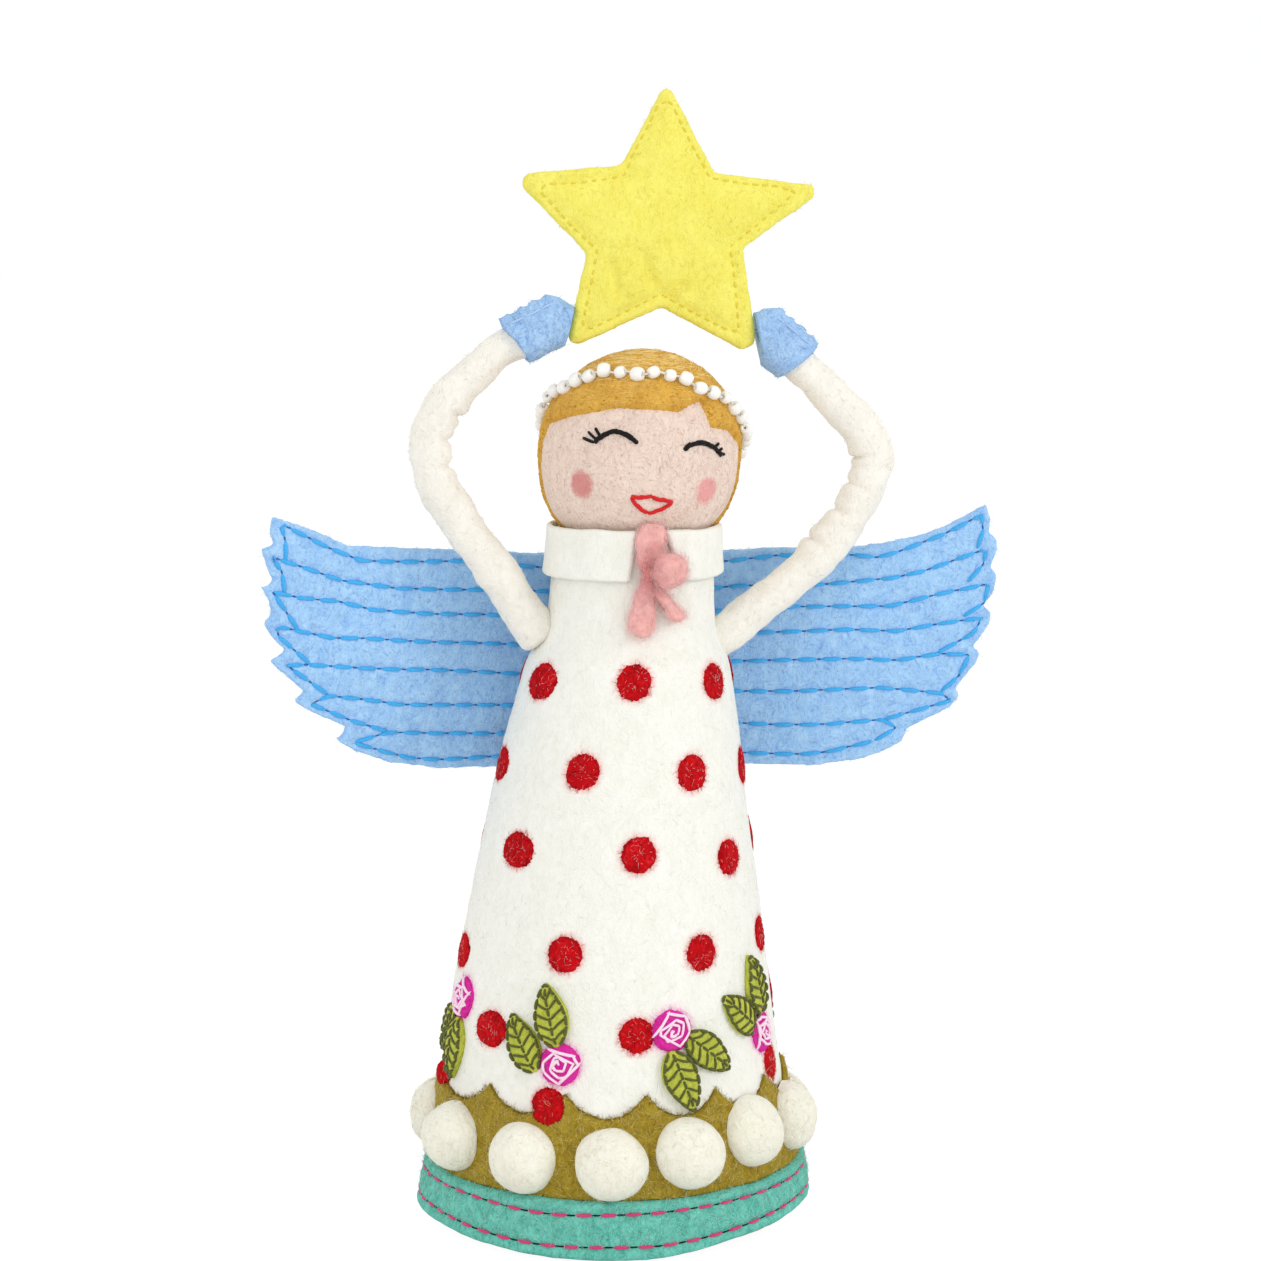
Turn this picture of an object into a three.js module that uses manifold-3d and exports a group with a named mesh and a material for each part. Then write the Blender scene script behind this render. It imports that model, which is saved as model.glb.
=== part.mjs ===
// Angel tree topper of wool felt, holding a stuffed star overhead.
// Millimetres, +Z up, the face looks towards -Y, +X is the viewer's right.
import * as THREE from 'three';
import { mergeVertices } from 'three/addons/utils/BufferGeometryUtils.js';
import Module from 'manifold-3d';

const wasm = await Module();
wasm.setup();

// Clearances between pieces
const SEWN_GAP = 0.3;
const PIVOT_GAP = 0.4;
const GRIP_GAP = 0.5;

// The soft figure leans to the viewer's right, by this share of the height
const LEAN = 0.0316;

// Dress: a felted cone, given by its outer radius at each height step
const HEM_RADIUS = 44.2;
const SKIRT_RISE = 50;
const SKIRT_RADIUS = 38.4;
const WAIST_RISE = 50;
const WAIST_RADIUS = 30.5;
const CHEST_RISE = 34;
const CHEST_RADIUS = 24.4;
const NECK_RISE = 13;
const NECK_RADIUS = 19.3;
const RIM_RISE = 18.5;
const RIM_RADIUS = 18.4;
const DRESS_WALL = 2.2;

// Stiff lining that keeps the cone open for the top of the tree
const LINING_WALL = 1;
const LINING_LIFT = 1;
const LINING_BELOW_CHEST = 9;

// Hem: teal band, olive scalloped edge, row of felt balls
const BAND_HEIGHT = 13.5;
const BAND_THICKNESS = 2.4;
const EDGE_THICKNESS = 1;
const BALL_RADIUS = 8.4;
const BALL_DEPTH = 6.3;
const BALL_CENTRE_SINK = 0.8;
const BALL_ABOVE_BAND = 1.1;
const SCALLOP_ABOVE_BALL = 0.8;
const SCALLOP_DEPTH = 5.4;
const BALL_ANGLES = [-101, -70, -39, -11, 13.5, 38, 66, 93.5, 121, 148.5, 176, 203.5, 231.5];

// Rose sprays: angle round the skirt, rise above the scallops, turn of the leaves
const ROSE_RADIUS = 4.9;
const ROSE_HEIGHT = 1.7;
const LEAF_LENGTH = 14.5;
const LEAF_WIDTH = 7.6;
const LEAF_HEIGHT = 1;
const LEAF_DIRECTIONS = [149, 104];
const SPRAYS = [
  { angle: -83, rise: 17.5, turn: 180 },
  { angle: -30, rise: 7, turn: 0 },
  { angle: 8, rise: 14.5, turn: 180 },
  { angle: 55, rise: 9.5, turn: 0 },
  { angle: 101, rise: 17.5, turn: 180 },
  { angle: 146, rise: 8, turn: 0 },
  { angle: 190, rise: 17.5, turn: 180 },
  { angle: 234, rise: 8, turn: 0 },
];

// Head, hair and bead circlet
const HEAD_RADIUS = 23;
const HAIR_THICKNESS = 1;
const HAIR_ABOVE_RIM = 0.8;
const BEAD_DIAMETER = 3.2;
const BEAD_PITCH = 3.7;
const BEAD_THREAD_RADIUS = 0.55;
const CIRCLET_TILT = 28;
const CIRCLET_LIFT = 10.9;
const FACE_TURN = -10;
const FACE_TILT = 7.3;
// Face opening of the hair, in head radii from the head's centre
const FACE_OPENING = [
  [-0.84, -1.15], [-0.93, -0.5], [-0.965, -0.15], [-0.94, 0.14], [-0.9, 0.29], [-0.59, 0.35],
  [-0.22, 0.41], [0.37, 0.37], [0.57, 0.48], [0.64, 0.35], [0.67, 0.23], [0.88, 0.21],
  [0.975, 0.08], [0.98, -0.2], [0.93, -0.5], [0.84, -1.15],
];

// Collar, open at the front, and the wool bow over its opening
const COLLAR_HEIGHT = 11.8;
const COLLAR_THICKNESS = 1.6;
const COLLAR_FLARE = 0.6;
const COLLAR_BELOW_RIM = 0.8;
const COLLAR_OPENING_TOP = { from: -8, to: 13 };
const COLLAR_OPENING_BOTTOM = { from: -12, to: 27 };
const BOW_ABOVE_COLLAR_FOOT = 2.7;
const KNOT_RADIUS = 2.7;
const WOOL_DEPTH = 3.4;
const UP_LOOP_LENGTH = 10.8;
const UP_LOOP_WIDTH = 6;
const SIDE_LOOP_LENGTH = 8.2;
const SIDE_LOOP_WIDTH = 8.2;
const LONG_TAIL_LENGTH = 14.4;
const LONG_TAIL_WIDTH = 5.8;
const SHORT_TAIL_LENGTH = 13.2;
const SHORT_TAIL_WIDTH = 4.2;
// Lobes of the bow by the way they point, clockwise from the top; the side loop lies over the collar
const BOW_LOBES = [
  { points: 6, length: UP_LOOP_LENGTH, width: UP_LOOP_WIDTH, over: false },
  { points: 92, length: SIDE_LOOP_LENGTH, width: SIDE_LOOP_WIDTH, over: true },
  { points: 150, length: SHORT_TAIL_LENGTH, width: SHORT_TAIL_WIDTH, over: false },
  { points: 186, length: LONG_TAIL_LENGTH, width: LONG_TAIL_WIDTH, over: false },
];

// Star: five points, two felt shells sewn together round a filling
const STAR_POINTS = 5;
const STAR_RADIUS = 36;
const STAR_NOTCH_RADIUS = 18;
const STAR_TIP_ROUNDING = 1.6;
const STAR_FELT = 1.8;
const STAR_HALF_THICKNESS = 7;
const STAR_SEAM_SHARE = 0.78;
// Rings of the dome, as shares of the way from the middle to the seam
const STAR_DOME_SHARES = [0.35, 0.6, 0.8, 0.93, 1];
const STAR_OFFSET = 4.8;
const STAR_ABOVE_HAIR = 8.8;
const GRIP_ABOVE_TIP = 8;

// Arms: wool rolled on one wire that runs from hand to hand across the shoulders
const SHOULDER_ABOVE_CHEST = 2.5;
const WIRE_RADIUS = 0.9;
const ARM_RADIUS = 4.8;
const WRIST_RADIUS = 4.1;
const SHOULDER_RADIUS = 3;
const SHOULDER_TAPER = 16;
const WRIST_TAPER = 22;
const ARM_TIP_COVER = 1;
const ARM_SWING_BACK = 10;
const ARM_SWING_FORWARD = 35;
// Arm bends: out from the dress side and up from the shoulder; wrist bend is taken from the cuff
const ARMS = {
  left: { side: -1, upper: [15, 22.5], elbow: [24.3, 40], bend: [24.6, 51.5], wrist: [9.5, -6], slope: 22 },
  right: { side: 1, upper: [17.5, 15], elbow: [30, 32.5], bend: [32.6, 42.5], wrist: [11, -9.5], slope: 34 },
};

// Mitts: felt pouches over the ends of the arms
const MITT_LENGTH = 15;
const MITT_WALL = 1.3;
const MITT_SOCKET_DEPTH = 6;
const MITT_SEAM_HEIGHT = 1.2;
const MITT_TIP_HALF_WIDTH = 5.2;
const MITT_TIP_HALF_DEPTH = 2.6;

// Wings: flat felt, sewn along their root to the back of the dress
const WING_THICKNESS = 2.5;
const WING_ABOVE_WAIST = 3;
const WING_ROOT_HEIGHT = 53;
const WING_ANGLE_FROM_BACK = 15;
const FEATHER_COUNT = 7;
const FEATHER_INSET = 3.8;
const FEATHER_STEP = 2;
const WING_SPAN = 84.8;
const TOP_TIP_INSET = 2.8;
const TOP_TIP_ABOVE_ROOT = 12.3;
const BOTTOM_TIP_INSET = 22.8;
const BOTTOM_TIP_RISE = 9.7;

// Facets
const DRESS_STEPS = 40;
const DRESS_PROFILE_STEPS = 12;
const BAND_STEPS = 52;
const BALL_STEPS = 11;
const BALL_LEVELS = 5;
const HEAD_STEPS = 24;
const COLLAR_STEPS = 36;
const ARM_SIDES = 10;
const WIRE_SIDES = 6;
const ARM_PATH_STEPS = 46;
const BEAD_SIDES = 5;
const WELD = 1e-4;

const radians = THREE.MathUtils.degToRad;
const lerp = THREE.MathUtils.lerp;

// Heights that follow from the steps above
const SKIRT_HEIGHT = SKIRT_RISE;
const WAIST_HEIGHT = SKIRT_HEIGHT + WAIST_RISE;
const CHEST_HEIGHT = WAIST_HEIGHT + CHEST_RISE;
const NECK_HEIGHT = CHEST_HEIGHT + NECK_RISE;
const RIM_HEIGHT = NECK_HEIGHT + RIM_RISE;
const SHOULDER_HEIGHT = CHEST_HEIGHT + SHOULDER_ABOVE_CHEST;
const COLLAR_TOP = RIM_HEIGHT - COLLAR_BELOW_RIM;
const COLLAR_FOOT = COLLAR_TOP - COLLAR_HEIGHT;
const HEAD_SEAT_RADIUS = RIM_RADIUS - DRESS_WALL;
const HEAD_HEIGHT = RIM_HEIGHT + Math.sqrt((HEAD_RADIUS + SEWN_GAP) ** 2 - HEAD_SEAT_RADIUS ** 2);
const HAIR_INNER_RADIUS = HEAD_RADIUS + SEWN_GAP;
const HAIR_RADIUS = HAIR_INNER_RADIUS + HAIR_THICKNESS;
const STAR_HEIGHT = HEAD_HEIGHT + HAIR_RADIUS + STAR_ABOVE_HAIR + STAR_NOTCH_RADIUS;
const BALL_HEIGHT = BAND_HEIGHT + BALL_ABOVE_BAND + BALL_RADIUS;
const SCALLOP_VALLEY = BALL_HEIGHT + BALL_RADIUS + SCALLOP_ABOVE_BALL;
const SCALLOP_PEAK = SCALLOP_VALLEY + SCALLOP_DEPTH;

const dressOutline = new THREE.SplineCurve([
  new THREE.Vector2(HEM_RADIUS, 0),
  new THREE.Vector2(SKIRT_RADIUS, SKIRT_HEIGHT),
  new THREE.Vector2(WAIST_RADIUS, WAIST_HEIGHT),
  new THREE.Vector2(CHEST_RADIUS, CHEST_HEIGHT),
  new THREE.Vector2(NECK_RADIUS, NECK_HEIGHT),
  new THREE.Vector2(RIM_RADIUS, RIM_HEIGHT),
]).getPoints(DRESS_PROFILE_STEPS);

// Outer radius of the dress at a height, and of its rim above that
function dressRadius(height) {
  const level = THREE.MathUtils.clamp(height, 0, RIM_HEIGHT);
  const above = Math.max(1, dressOutline.findIndex((point) => point.y >= level));
  const [lower, upper] = dressOutline.slice(above - 1, above + 1);
  return lerp(lower.x, upper.x, (level - lower.y) / (upper.y - lower.y));
}

// Point at an angle from the front in degrees, towards the viewer's right
function around(angle, radius, height) {
  const turn = radians(angle);
  return new THREE.Vector3(radius * Math.sin(turn), -radius * Math.cos(turn), height);
}

function signedVolume(geometry) {
  const corner = [0, 1, 2].map(() => new THREE.Vector3());
  const index = geometry.index.array;
  let volume = 0;
  for (let i = 0; i < index.length; i += 3) {
    corner.forEach((point, k) => point.fromBufferAttribute(geometry.attributes.position, index[i + k]));
    volume += corner[0].dot(corner[1].cross(corner[2])) / 6;
  }
  return volume;
}

// Turns the faces round where they look inwards
function facingOut(geometry) {
  if (signedVolume(geometry) < 0) {
    const index = geometry.index.array;
    for (let i = 0; i < index.length; i += 3) {
      [index[i + 1], index[i + 2]] = [index[i + 2], index[i + 1]];
    }
  }
  return geometry;
}

// Body of revolution about Z from [radius, height] pairs
function revolve(profile, steps) {
  const points = profile.map(([radius, height]) => new THREE.Vector2(radius, height));
  return facingOut(new THREE.LatheGeometry(points, steps).rotateX(Math.PI / 2));
}

function middle(ring) {
  return ring.reduce((sum, point) => sum.add(point), new THREE.Vector3()).divideScalar(ring.length);
}

// Skin over rings of equally many points, joined end to end or closed by a fan at each end
function loft(rings, { loop = false, first = middle(rings[0]), last = middle(rings.at(-1)) } = {}) {
  const count = rings[0].length;
  const points = rings.flat();
  const faces = [];
  for (let i = 0; i < rings.length - (loop ? 0 : 1); i += 1) {
    const near = i * count;
    const far = ((i + 1) % rings.length) * count;
    for (let j = 0; j < count; j += 1) {
      const k = (j + 1) % count;
      faces.push(near + j, near + k, far + k, near + j, far + k, far + j);
    }
  }
  if (!loop) {
    const end = (rings.length - 1) * count;
    points.push(first, last);
    for (let j = 0; j < count; j += 1) {
      const k = (j + 1) % count;
      faces.push(points.length - 2, k, j, points.length - 1, end + j, end + k);
    }
  }
  const geometry = new THREE.BufferGeometry().setFromPoints(points);
  geometry.setIndex(faces);
  return facingOut(geometry);
}

// Closed solid for cutting and joining
function solid(geometry) {
  const bare = geometry.clone();
  bare.deleteAttribute('normal');
  bare.deleteAttribute('uv');
  const welded = mergeVertices(bare, WELD);
  const index = welded.index.array;
  const faces = [];
  for (let i = 0; i < index.length; i += 3) {
    const corners = [index[i], index[i + 1], index[i + 2]];
    if (new Set(corners).size === corners.length) {
      faces.push(...corners);
    }
  }
  return new wasm.Manifold(new wasm.Mesh({
    numProp: 3,
    vertProperties: new Float32Array(welded.attributes.position.array),
    triVerts: new Uint32Array(faces),
  }));
}

function geometryOf(body) {
  const mesh = body.getMesh();
  const geometry = new THREE.BufferGeometry();
  geometry.setAttribute('position', new THREE.BufferAttribute(mesh.vertProperties, mesh.numProp));
  geometry.setIndex(new THREE.BufferAttribute(mesh.triVerts, 1));
  return geometry;
}

// Bends a flat piece (across, up, off the surface) round the figure
function wrap(geometry, angle, height, surface) {
  const positions = geometry.attributes.position;
  const reference = surface(height);
  for (let i = 0; i < positions.count; i += 1) {
    const level = height + positions.getY(i);
    const turn = angle + THREE.MathUtils.radToDeg(positions.getX(i) / reference);
    const place = around(turn, surface(level) + positions.getZ(i), level);
    positions.setXYZ(i, place.x, place.y, place.z);
  }
  return facingOut(geometry);
}

const felt = (colour) => new THREE.MeshStandardMaterial({ color: colour, roughness: 0.95, metalness: 0 });
const CREAM = felt(0xf1ecdf);
const CARD = new THREE.MeshStandardMaterial({ color: 0xb9a582, roughness: 0.85, metalness: 0 });
const TEAL = felt(0x4fb3a2);
const OLIVE = felt(0x96802b);
const GREEN = felt(0x9aad2f);
const SKIN = felt(0xe4cdbd);
const HAIR = felt(0xc9982f);
const BEAD = new THREE.MeshStandardMaterial({ color: 0xf6f4ef, roughness: 0.25, metalness: 0 });
const PINK = felt(0xe79aa0);
const YELLOW = felt(0xf2e24e);
const FILLING = felt(0xf4f2ec);
const BLUE = felt(0x7d9fdc);
const STEEL = new THREE.MeshStandardMaterial({ color: 0x9a9a9a, roughness: 0.4, metalness: 1 });

function piece(parent, name, geometry, material) {
  geometry.computeVertexNormals();
  const mesh = new THREE.Mesh(geometry, material);
  mesh.name = name;
  parent.add(mesh);
  return mesh;
}

const figure = new THREE.Group();
figure.matrixAutoUpdate = false;
figure.matrix.makeShear(0, 0, 0, 0, LEAN, 0);

// Dress with a small hole at each shoulder for the arm wire
function dress() {
  const outside = dressOutline.map(({ x, y }) => [x, y]);
  const inside = dressOutline.map(({ x, y }) => [x - DRESS_WALL, y]).reverse();
  const cone = solid(revolve([...outside, ...inside, outside[0]], DRESS_STEPS));
  const reach = 2 * dressRadius(SHOULDER_HEIGHT) + 4 * DRESS_WALL;
  const bore = WIRE_RADIUS + PIVOT_GAP;
  const hole = new THREE.CylinderGeometry(bore, bore, reach, ARM_SIDES);
  hole.rotateZ(Math.PI / 2).translate(0, 0, SHOULDER_HEIGHT);
  return geometryOf(cone.subtract(solid(hole)));
}

function lining() {
  const top = CHEST_HEIGHT - LINING_BELOW_CHEST;
  const inset = DRESS_WALL + SEWN_GAP;
  const between = dressOutline.filter(({ y }, k) => k % 2 === 0 && y > LINING_LIFT && y < top);
  const heights = [LINING_LIFT, ...between.map(({ y }) => y), top];
  const outside = heights.map((height) => [dressRadius(height) - inset, height]);
  const inside = heights.map((height) => [dressRadius(height) - inset - LINING_WALL, height]).reverse();
  return revolve([...outside, ...inside, outside[0]], DRESS_STEPS);
}

function hemBand() {
  const foot = dressRadius(0) + SEWN_GAP;
  const top = dressRadius(BAND_HEIGHT) + SEWN_GAP;
  const swell = BAND_THICKNESS / 6;
  const profile = [
    [foot, 0],
    [foot + BAND_THICKNESS, 0],
    [lerp(foot, top, 0.5) + BAND_THICKNESS + swell, BAND_HEIGHT / 2],
    [top + BAND_THICKNESS, BAND_HEIGHT],
    [top, BAND_HEIGHT],
    [foot, 0],
  ];
  return revolve(profile, BAND_STEPS);
}

// Olive edge: each scallop spans from one gap between the balls to the next
function hemEdge() {
  const shares = [0, 0.1, 0.28, 0.5, 0.72, 0.9];
  const foot = BAND_HEIGHT + SEWN_GAP;
  const rings = [];
  BALL_ANGLES.forEach((angle, k) => {
    const before = k > 0 ? BALL_ANGLES[k - 1] : BALL_ANGLES.at(-1) - 360;
    const after = k + 1 < BALL_ANGLES.length ? BALL_ANGLES[k + 1] : BALL_ANGLES[0] + 360;
    shares.forEach((share) => {
      const turn = lerp((before + angle) / 2, (angle + after) / 2, share);
      const top = SCALLOP_VALLEY + SCALLOP_DEPTH * Math.abs(2 * share - 1) ** 2.2;
      const levels = [foot, (foot + top) / 2, top];
      const wall = (off) => levels.map((level) => around(turn, dressRadius(level) + off, level));
      rings.push([...wall(SEWN_GAP), ...wall(SEWN_GAP + EDGE_THICKNESS).reverse()]);
    });
  });
  return loft(rings, { loop: true });
}

// Felt ball pressed flat at the back, its axis along +Z
function ball() {
  const start = Math.asin(BALL_CENTRE_SINK / BALL_DEPTH);
  const profile = [[0, 0]];
  for (let i = 0; i <= BALL_LEVELS; i += 1) {
    const rise = lerp(start, Math.PI / 2, i / BALL_LEVELS);
    const radius = i < BALL_LEVELS ? BALL_RADIUS * Math.cos(rise) : 0;
    profile.push([radius, BALL_DEPTH * Math.sin(rise) - BALL_CENTRE_SINK]);
  }
  return revolve(profile, BALL_STEPS);
}

function placeBall(mesh, angle) {
  const above = BALL_HEIGHT + BALL_RADIUS;
  const below = BALL_HEIGHT - BALL_RADIUS;
  const slope = Math.atan((dressRadius(below) - dressRadius(above)) / (above - below));
  const radius = dressRadius(BALL_HEIGHT) + EDGE_THICKNESS + 2 * SEWN_GAP;
  const outward = around(angle, Math.cos(slope), Math.sin(slope));
  mesh.position.copy(around(angle, radius, BALL_HEIGHT));
  mesh.quaternion.setFromUnitVectors(new THREE.Vector3(0, 0, 1), outward);
}

// One pointed leaf lying along +X from the rose, with a raised midrib
function leaf() {
  const stations = [0.02, 0.2, 0.5, 0.78, 0.98];
  const start = ROSE_RADIUS / 2;
  const rings = stations.map((share) => {
    const half = (LEAF_WIDTH / 2) * Math.sin(Math.PI * share ** 0.8) ** 0.8 + 0.2;
    const along = start + LEAF_LENGTH * share;
    const section = [[-1, 0], [0, 0], [1, 0], [0.6, 0.8], [0, 1], [-0.6, 0.8]];
    return section.map(([across, up]) => new THREE.Vector3(along, across * half, up * LEAF_HEIGHT));
  });
  return loft(rings);
}

function rose() {
  const profile = [[0, 0], [0.5, 0], [1, 0], [0.92, 0.6], [0.55, 1], [0, 0.85]];
  return revolve(profile.map(([share, rise]) => [ROSE_RADIUS * share, ROSE_HEIGHT * rise]), ARM_SIDES);
}

function spray({ angle, rise, turn }) {
  const surface = (height) => dressRadius(height) + SEWN_GAP;
  const height = SCALLOP_PEAK + rise;
  const parts = LEAF_DIRECTIONS.map((direction) => leaf().rotateZ(radians(direction + turn)));
  const bodies = [rose(), ...parts].map((part) => solid(wrap(part, angle, height, surface)));
  return geometryOf(bodies.reduce((joined, body) => joined.add(body)));
}

function sphereProfile(radius) {
  const half = HEAD_STEPS / 2;
  return Array.from({ length: half + 1 }, (_, i) => {
    const turn = (Math.PI * i) / half;
    return [i % half === 0 ? 0 : radius * Math.sin(turn), -radius * Math.cos(turn)];
  });
}

// Hair: a felt cap over the head, open at the face, its fringe parted at one side
function hair() {
  const outer = solid(revolve(sphereProfile(HAIR_RADIUS), HEAD_STEPS));
  const inner = solid(revolve(sphereProfile(HAIR_INNER_RADIUS), HEAD_STEPS));
  const corners = FACE_OPENING.map(([x, y]) => new THREE.Vector2(x, y).multiplyScalar(HEAD_RADIUS));
  const sweep = { depth: 2 * HEAD_RADIUS, bevelEnabled: false, steps: 1 };
  const opening = new THREE.ExtrudeGeometry(new THREE.Shape(corners), sweep);
  opening.rotateX(Math.PI / 2 - radians(FACE_TILT)).rotateZ(radians(FACE_TURN));
  const rim = RIM_HEIGHT + HAIR_ABOVE_RIM - HEAD_HEIGHT;
  return geometryOf(outer.subtract(inner).subtract(solid(opening)).trimByPlane([0, 0, 1], rim));
}

// Circlet: beads on a thread, in one closed loop tilted back over the hair
function circlet() {
  const seat = HAIR_RADIUS + SEWN_GAP + BEAD_DIAMETER / 2;
  const radius = Math.sqrt(seat ** 2 - CIRCLET_LIFT ** 2);
  const count = Math.floor((2 * Math.PI * radius) / BEAD_PITCH);
  const bead = BEAD_DIAMETER / 2;
  const shoulder = 0.72 * bead;
  const step = 360 / count;
  const stops = [
    { at: 0, half: bead },
    { at: THREE.MathUtils.radToDeg(shoulder / radius), half: Math.sqrt(bead ** 2 - shoulder ** 2) },
    { at: step / 2, half: BEAD_THREAD_RADIUS },
    { at: step - THREE.MathUtils.radToDeg(shoulder / radius), half: Math.sqrt(bead ** 2 - shoulder ** 2) },
  ];
  const rings = [];
  for (let k = 0; k < count; k += 1) {
    stops.forEach(({ at, half }) => {
      const outward = around(k * step + at, 1, 0);
      const centre = outward.clone().multiplyScalar(radius).setZ(CIRCLET_LIFT);
      rings.push(circle(centre, outward, new THREE.Vector3(0, 0, 1), half, BEAD_SIDES));
    });
  }
  return loft(rings, { loop: true }).rotateX(-radians(CIRCLET_TILT)).rotateZ(radians(FACE_TURN));
}

function circle(centre, across, upward, radius, sides) {
  return Array.from({ length: sides }, (_, i) => {
    const turn = (2 * Math.PI * i) / sides;
    return centre.clone()
      .addScaledVector(across, radius * Math.cos(turn))
      .addScaledVector(upward, radius * Math.sin(turn));
  });
}

function collarRadius(height) {
  const share = (height - COLLAR_FOOT) / COLLAR_HEIGHT;
  const flare = COLLAR_FLARE * (1 - THREE.MathUtils.clamp(share, 0, 1));
  return dressRadius(height) + SEWN_GAP + COLLAR_THICKNESS + flare;
}

function collar() {
  const ring = (share) => {
    const foot = lerp(COLLAR_OPENING_BOTTOM.to, COLLAR_OPENING_BOTTOM.from + 360, share);
    const top = lerp(COLLAR_OPENING_TOP.to, COLLAR_OPENING_TOP.from + 360, share);
    return [
      around(foot, dressRadius(COLLAR_FOOT) + SEWN_GAP, COLLAR_FOOT),
      around(foot, collarRadius(COLLAR_FOOT), COLLAR_FOOT),
      around(top, collarRadius(COLLAR_TOP), COLLAR_TOP),
      around(top, dressRadius(COLLAR_TOP) + SEWN_GAP, COLLAR_TOP),
    ];
  };
  return loft(Array.from({ length: COLLAR_STEPS + 1 }, (_, i) => ring(i / COLLAR_STEPS)));
}

function bow() {
  const height = COLLAR_FOOT + BOW_ABOVE_COLLAR_FOOT;
  const onDress = (level) => dressRadius(level) + SEWN_GAP;
  const onCollar = (level) => Math.max(onDress(level), collarRadius(COLLAR_FOOT) + SEWN_GAP);
  const lobes = BOW_LOBES.map(({ points, length, width, over }) => {
    const lobe = new THREE.SphereGeometry(0.5, ARM_SIDES, 6).scale(width, length, WOOL_DEPTH);
    lobe.translate(0, length / 2 + KNOT_RADIUS / 4, WOOL_DEPTH / 2).rotateZ(-radians(points));
    return solid(wrap(lobe, 0, height, over ? onCollar : onDress));
  });
  const knot = new THREE.SphereGeometry(KNOT_RADIUS, ARM_SIDES, 6).translate(0, 0, KNOT_RADIUS);
  return geometryOf(lobes.reduce((joined, lobe) => joined.add(lobe), solid(wrap(knot, 0, height, onDress))));
}

function polar(radius, turn) {
  return new THREE.Vector2(radius * Math.cos(turn), radius * Math.sin(turn));
}

// Star outline in its own plane, points to the top, with rounded tips
function starOutline() {
  const half = Math.PI / STAR_POINTS;
  const corner = polar(STAR_NOTCH_RADIUS, half);
  const narrow = Math.atan2(corner.y, STAR_RADIUS - corner.x);
  const centre = STAR_RADIUS - STAR_TIP_ROUNDING / Math.sin(narrow);
  const points = [];
  for (let k = 0; k < STAR_POINTS; k += 1) {
    const axis = Math.PI / 2 + 2 * half * k;
    const tip = [];
    for (let i = 0; i <= 3; i += 1) {
      const turn = axis + lerp(-1, 1, i / 3) * (Math.PI / 2 - narrow);
      tip.push(polar(centre, axis).add(polar(STAR_TIP_ROUNDING, turn)));
    }
    const notch = polar(STAR_NOTCH_RADIUS, axis + half);
    const before = polar(STAR_NOTCH_RADIUS, axis - half);
    points.push(before.lerp(tip[0], 0.5), ...tip, tip[3].clone().lerp(notch, 0.5), notch);
  }
  return points;
}

// Ring of the star at a share of its outline and a height off its middle plane; inner rings are rounder
function starRing(share, height) {
  const pointed = Math.min(1, share / STAR_SEAM_SHARE);
  const round = (STAR_RADIUS + 2 * STAR_NOTCH_RADIUS) / 3;
  return starOutline().map((point) => {
    const place = point.clone().setLength(share * lerp(round, point.length(), pointed));
    return new THREE.Vector3(place.x, -height, place.y);
  });
}

// Height of the filling's dome at a share of the way to the seam
function starDome(share) {
  return (STAR_HALF_THICKNESS - STAR_FELT - SEWN_GAP / 2) * (1 - share ** 2) ** 0.75;
}

// One felt shell: domed inside the seam, flat outside it
function starShell(facing) {
  const inner = (share) => SEWN_GAP / 2 + starDome(share);
  const outer = (share) => inner(share) + STAR_FELT;
  const outside = STAR_DOME_SHARES.map((share) => starRing(STAR_SEAM_SHARE * share, facing * outer(share)));
  const inside = STAR_DOME_SHARES.map((share) => starRing(STAR_SEAM_SHARE * share, facing * inner(share)));
  const rings = [
    ...outside,
    starRing(0.97, facing * outer(1)),
    starRing(1, facing * (outer(1) - STAR_FELT / 3)),
    starRing(1, facing * inner(1)),
    ...inside.reverse(),
  ];
  return loft(rings, {
    first: new THREE.Vector3(0, -facing * outer(0), 0),
    last: new THREE.Vector3(0, -facing * inner(0), 0),
  });
}

function starFilling() {
  const height = (share) => starDome(share) - SEWN_GAP / 2;
  const shares = STAR_DOME_SHARES.slice(0, -1);
  const front = shares.map((share) => starRing(STAR_SEAM_SHARE * share, height(share)));
  const back = shares.map((share) => starRing(STAR_SEAM_SHARE * share, -height(share))).reverse();
  return loft([...front, ...back], {
    first: new THREE.Vector3(0, -height(0), 0),
    last: new THREE.Vector3(0, height(0), 0),
  });
}

// Outer edge of the star's lower leg on one side, in the figure's frame
function starLeg(side) {
  const half = Math.PI / STAR_POINTS;
  const axis = -Math.PI / 2 + side * half;
  const corner = (radius, turn) => new THREE.Vector3(
    STAR_OFFSET + radius * Math.cos(turn), 0, STAR_HEIGHT + radius * Math.sin(turn));
  return { tip: corner(STAR_RADIUS, axis), notch: corner(STAR_NOTCH_RADIUS, axis + side * half) };
}

// Where a mitt meets the star, the way the mitt points and the cuff at its other end
function grip({ side, slope }) {
  const { tip, notch } = starLeg(side);
  const point = tip.clone().lerp(notch, GRIP_ABOVE_TIP / (notch.z - tip.z));
  const along = new THREE.Vector3(-side * Math.cos(radians(slope)), 0, Math.sin(radians(slope)));
  return { point, along, cuff: point.clone().addScaledVector(along, -MITT_LENGTH) };
}

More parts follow.
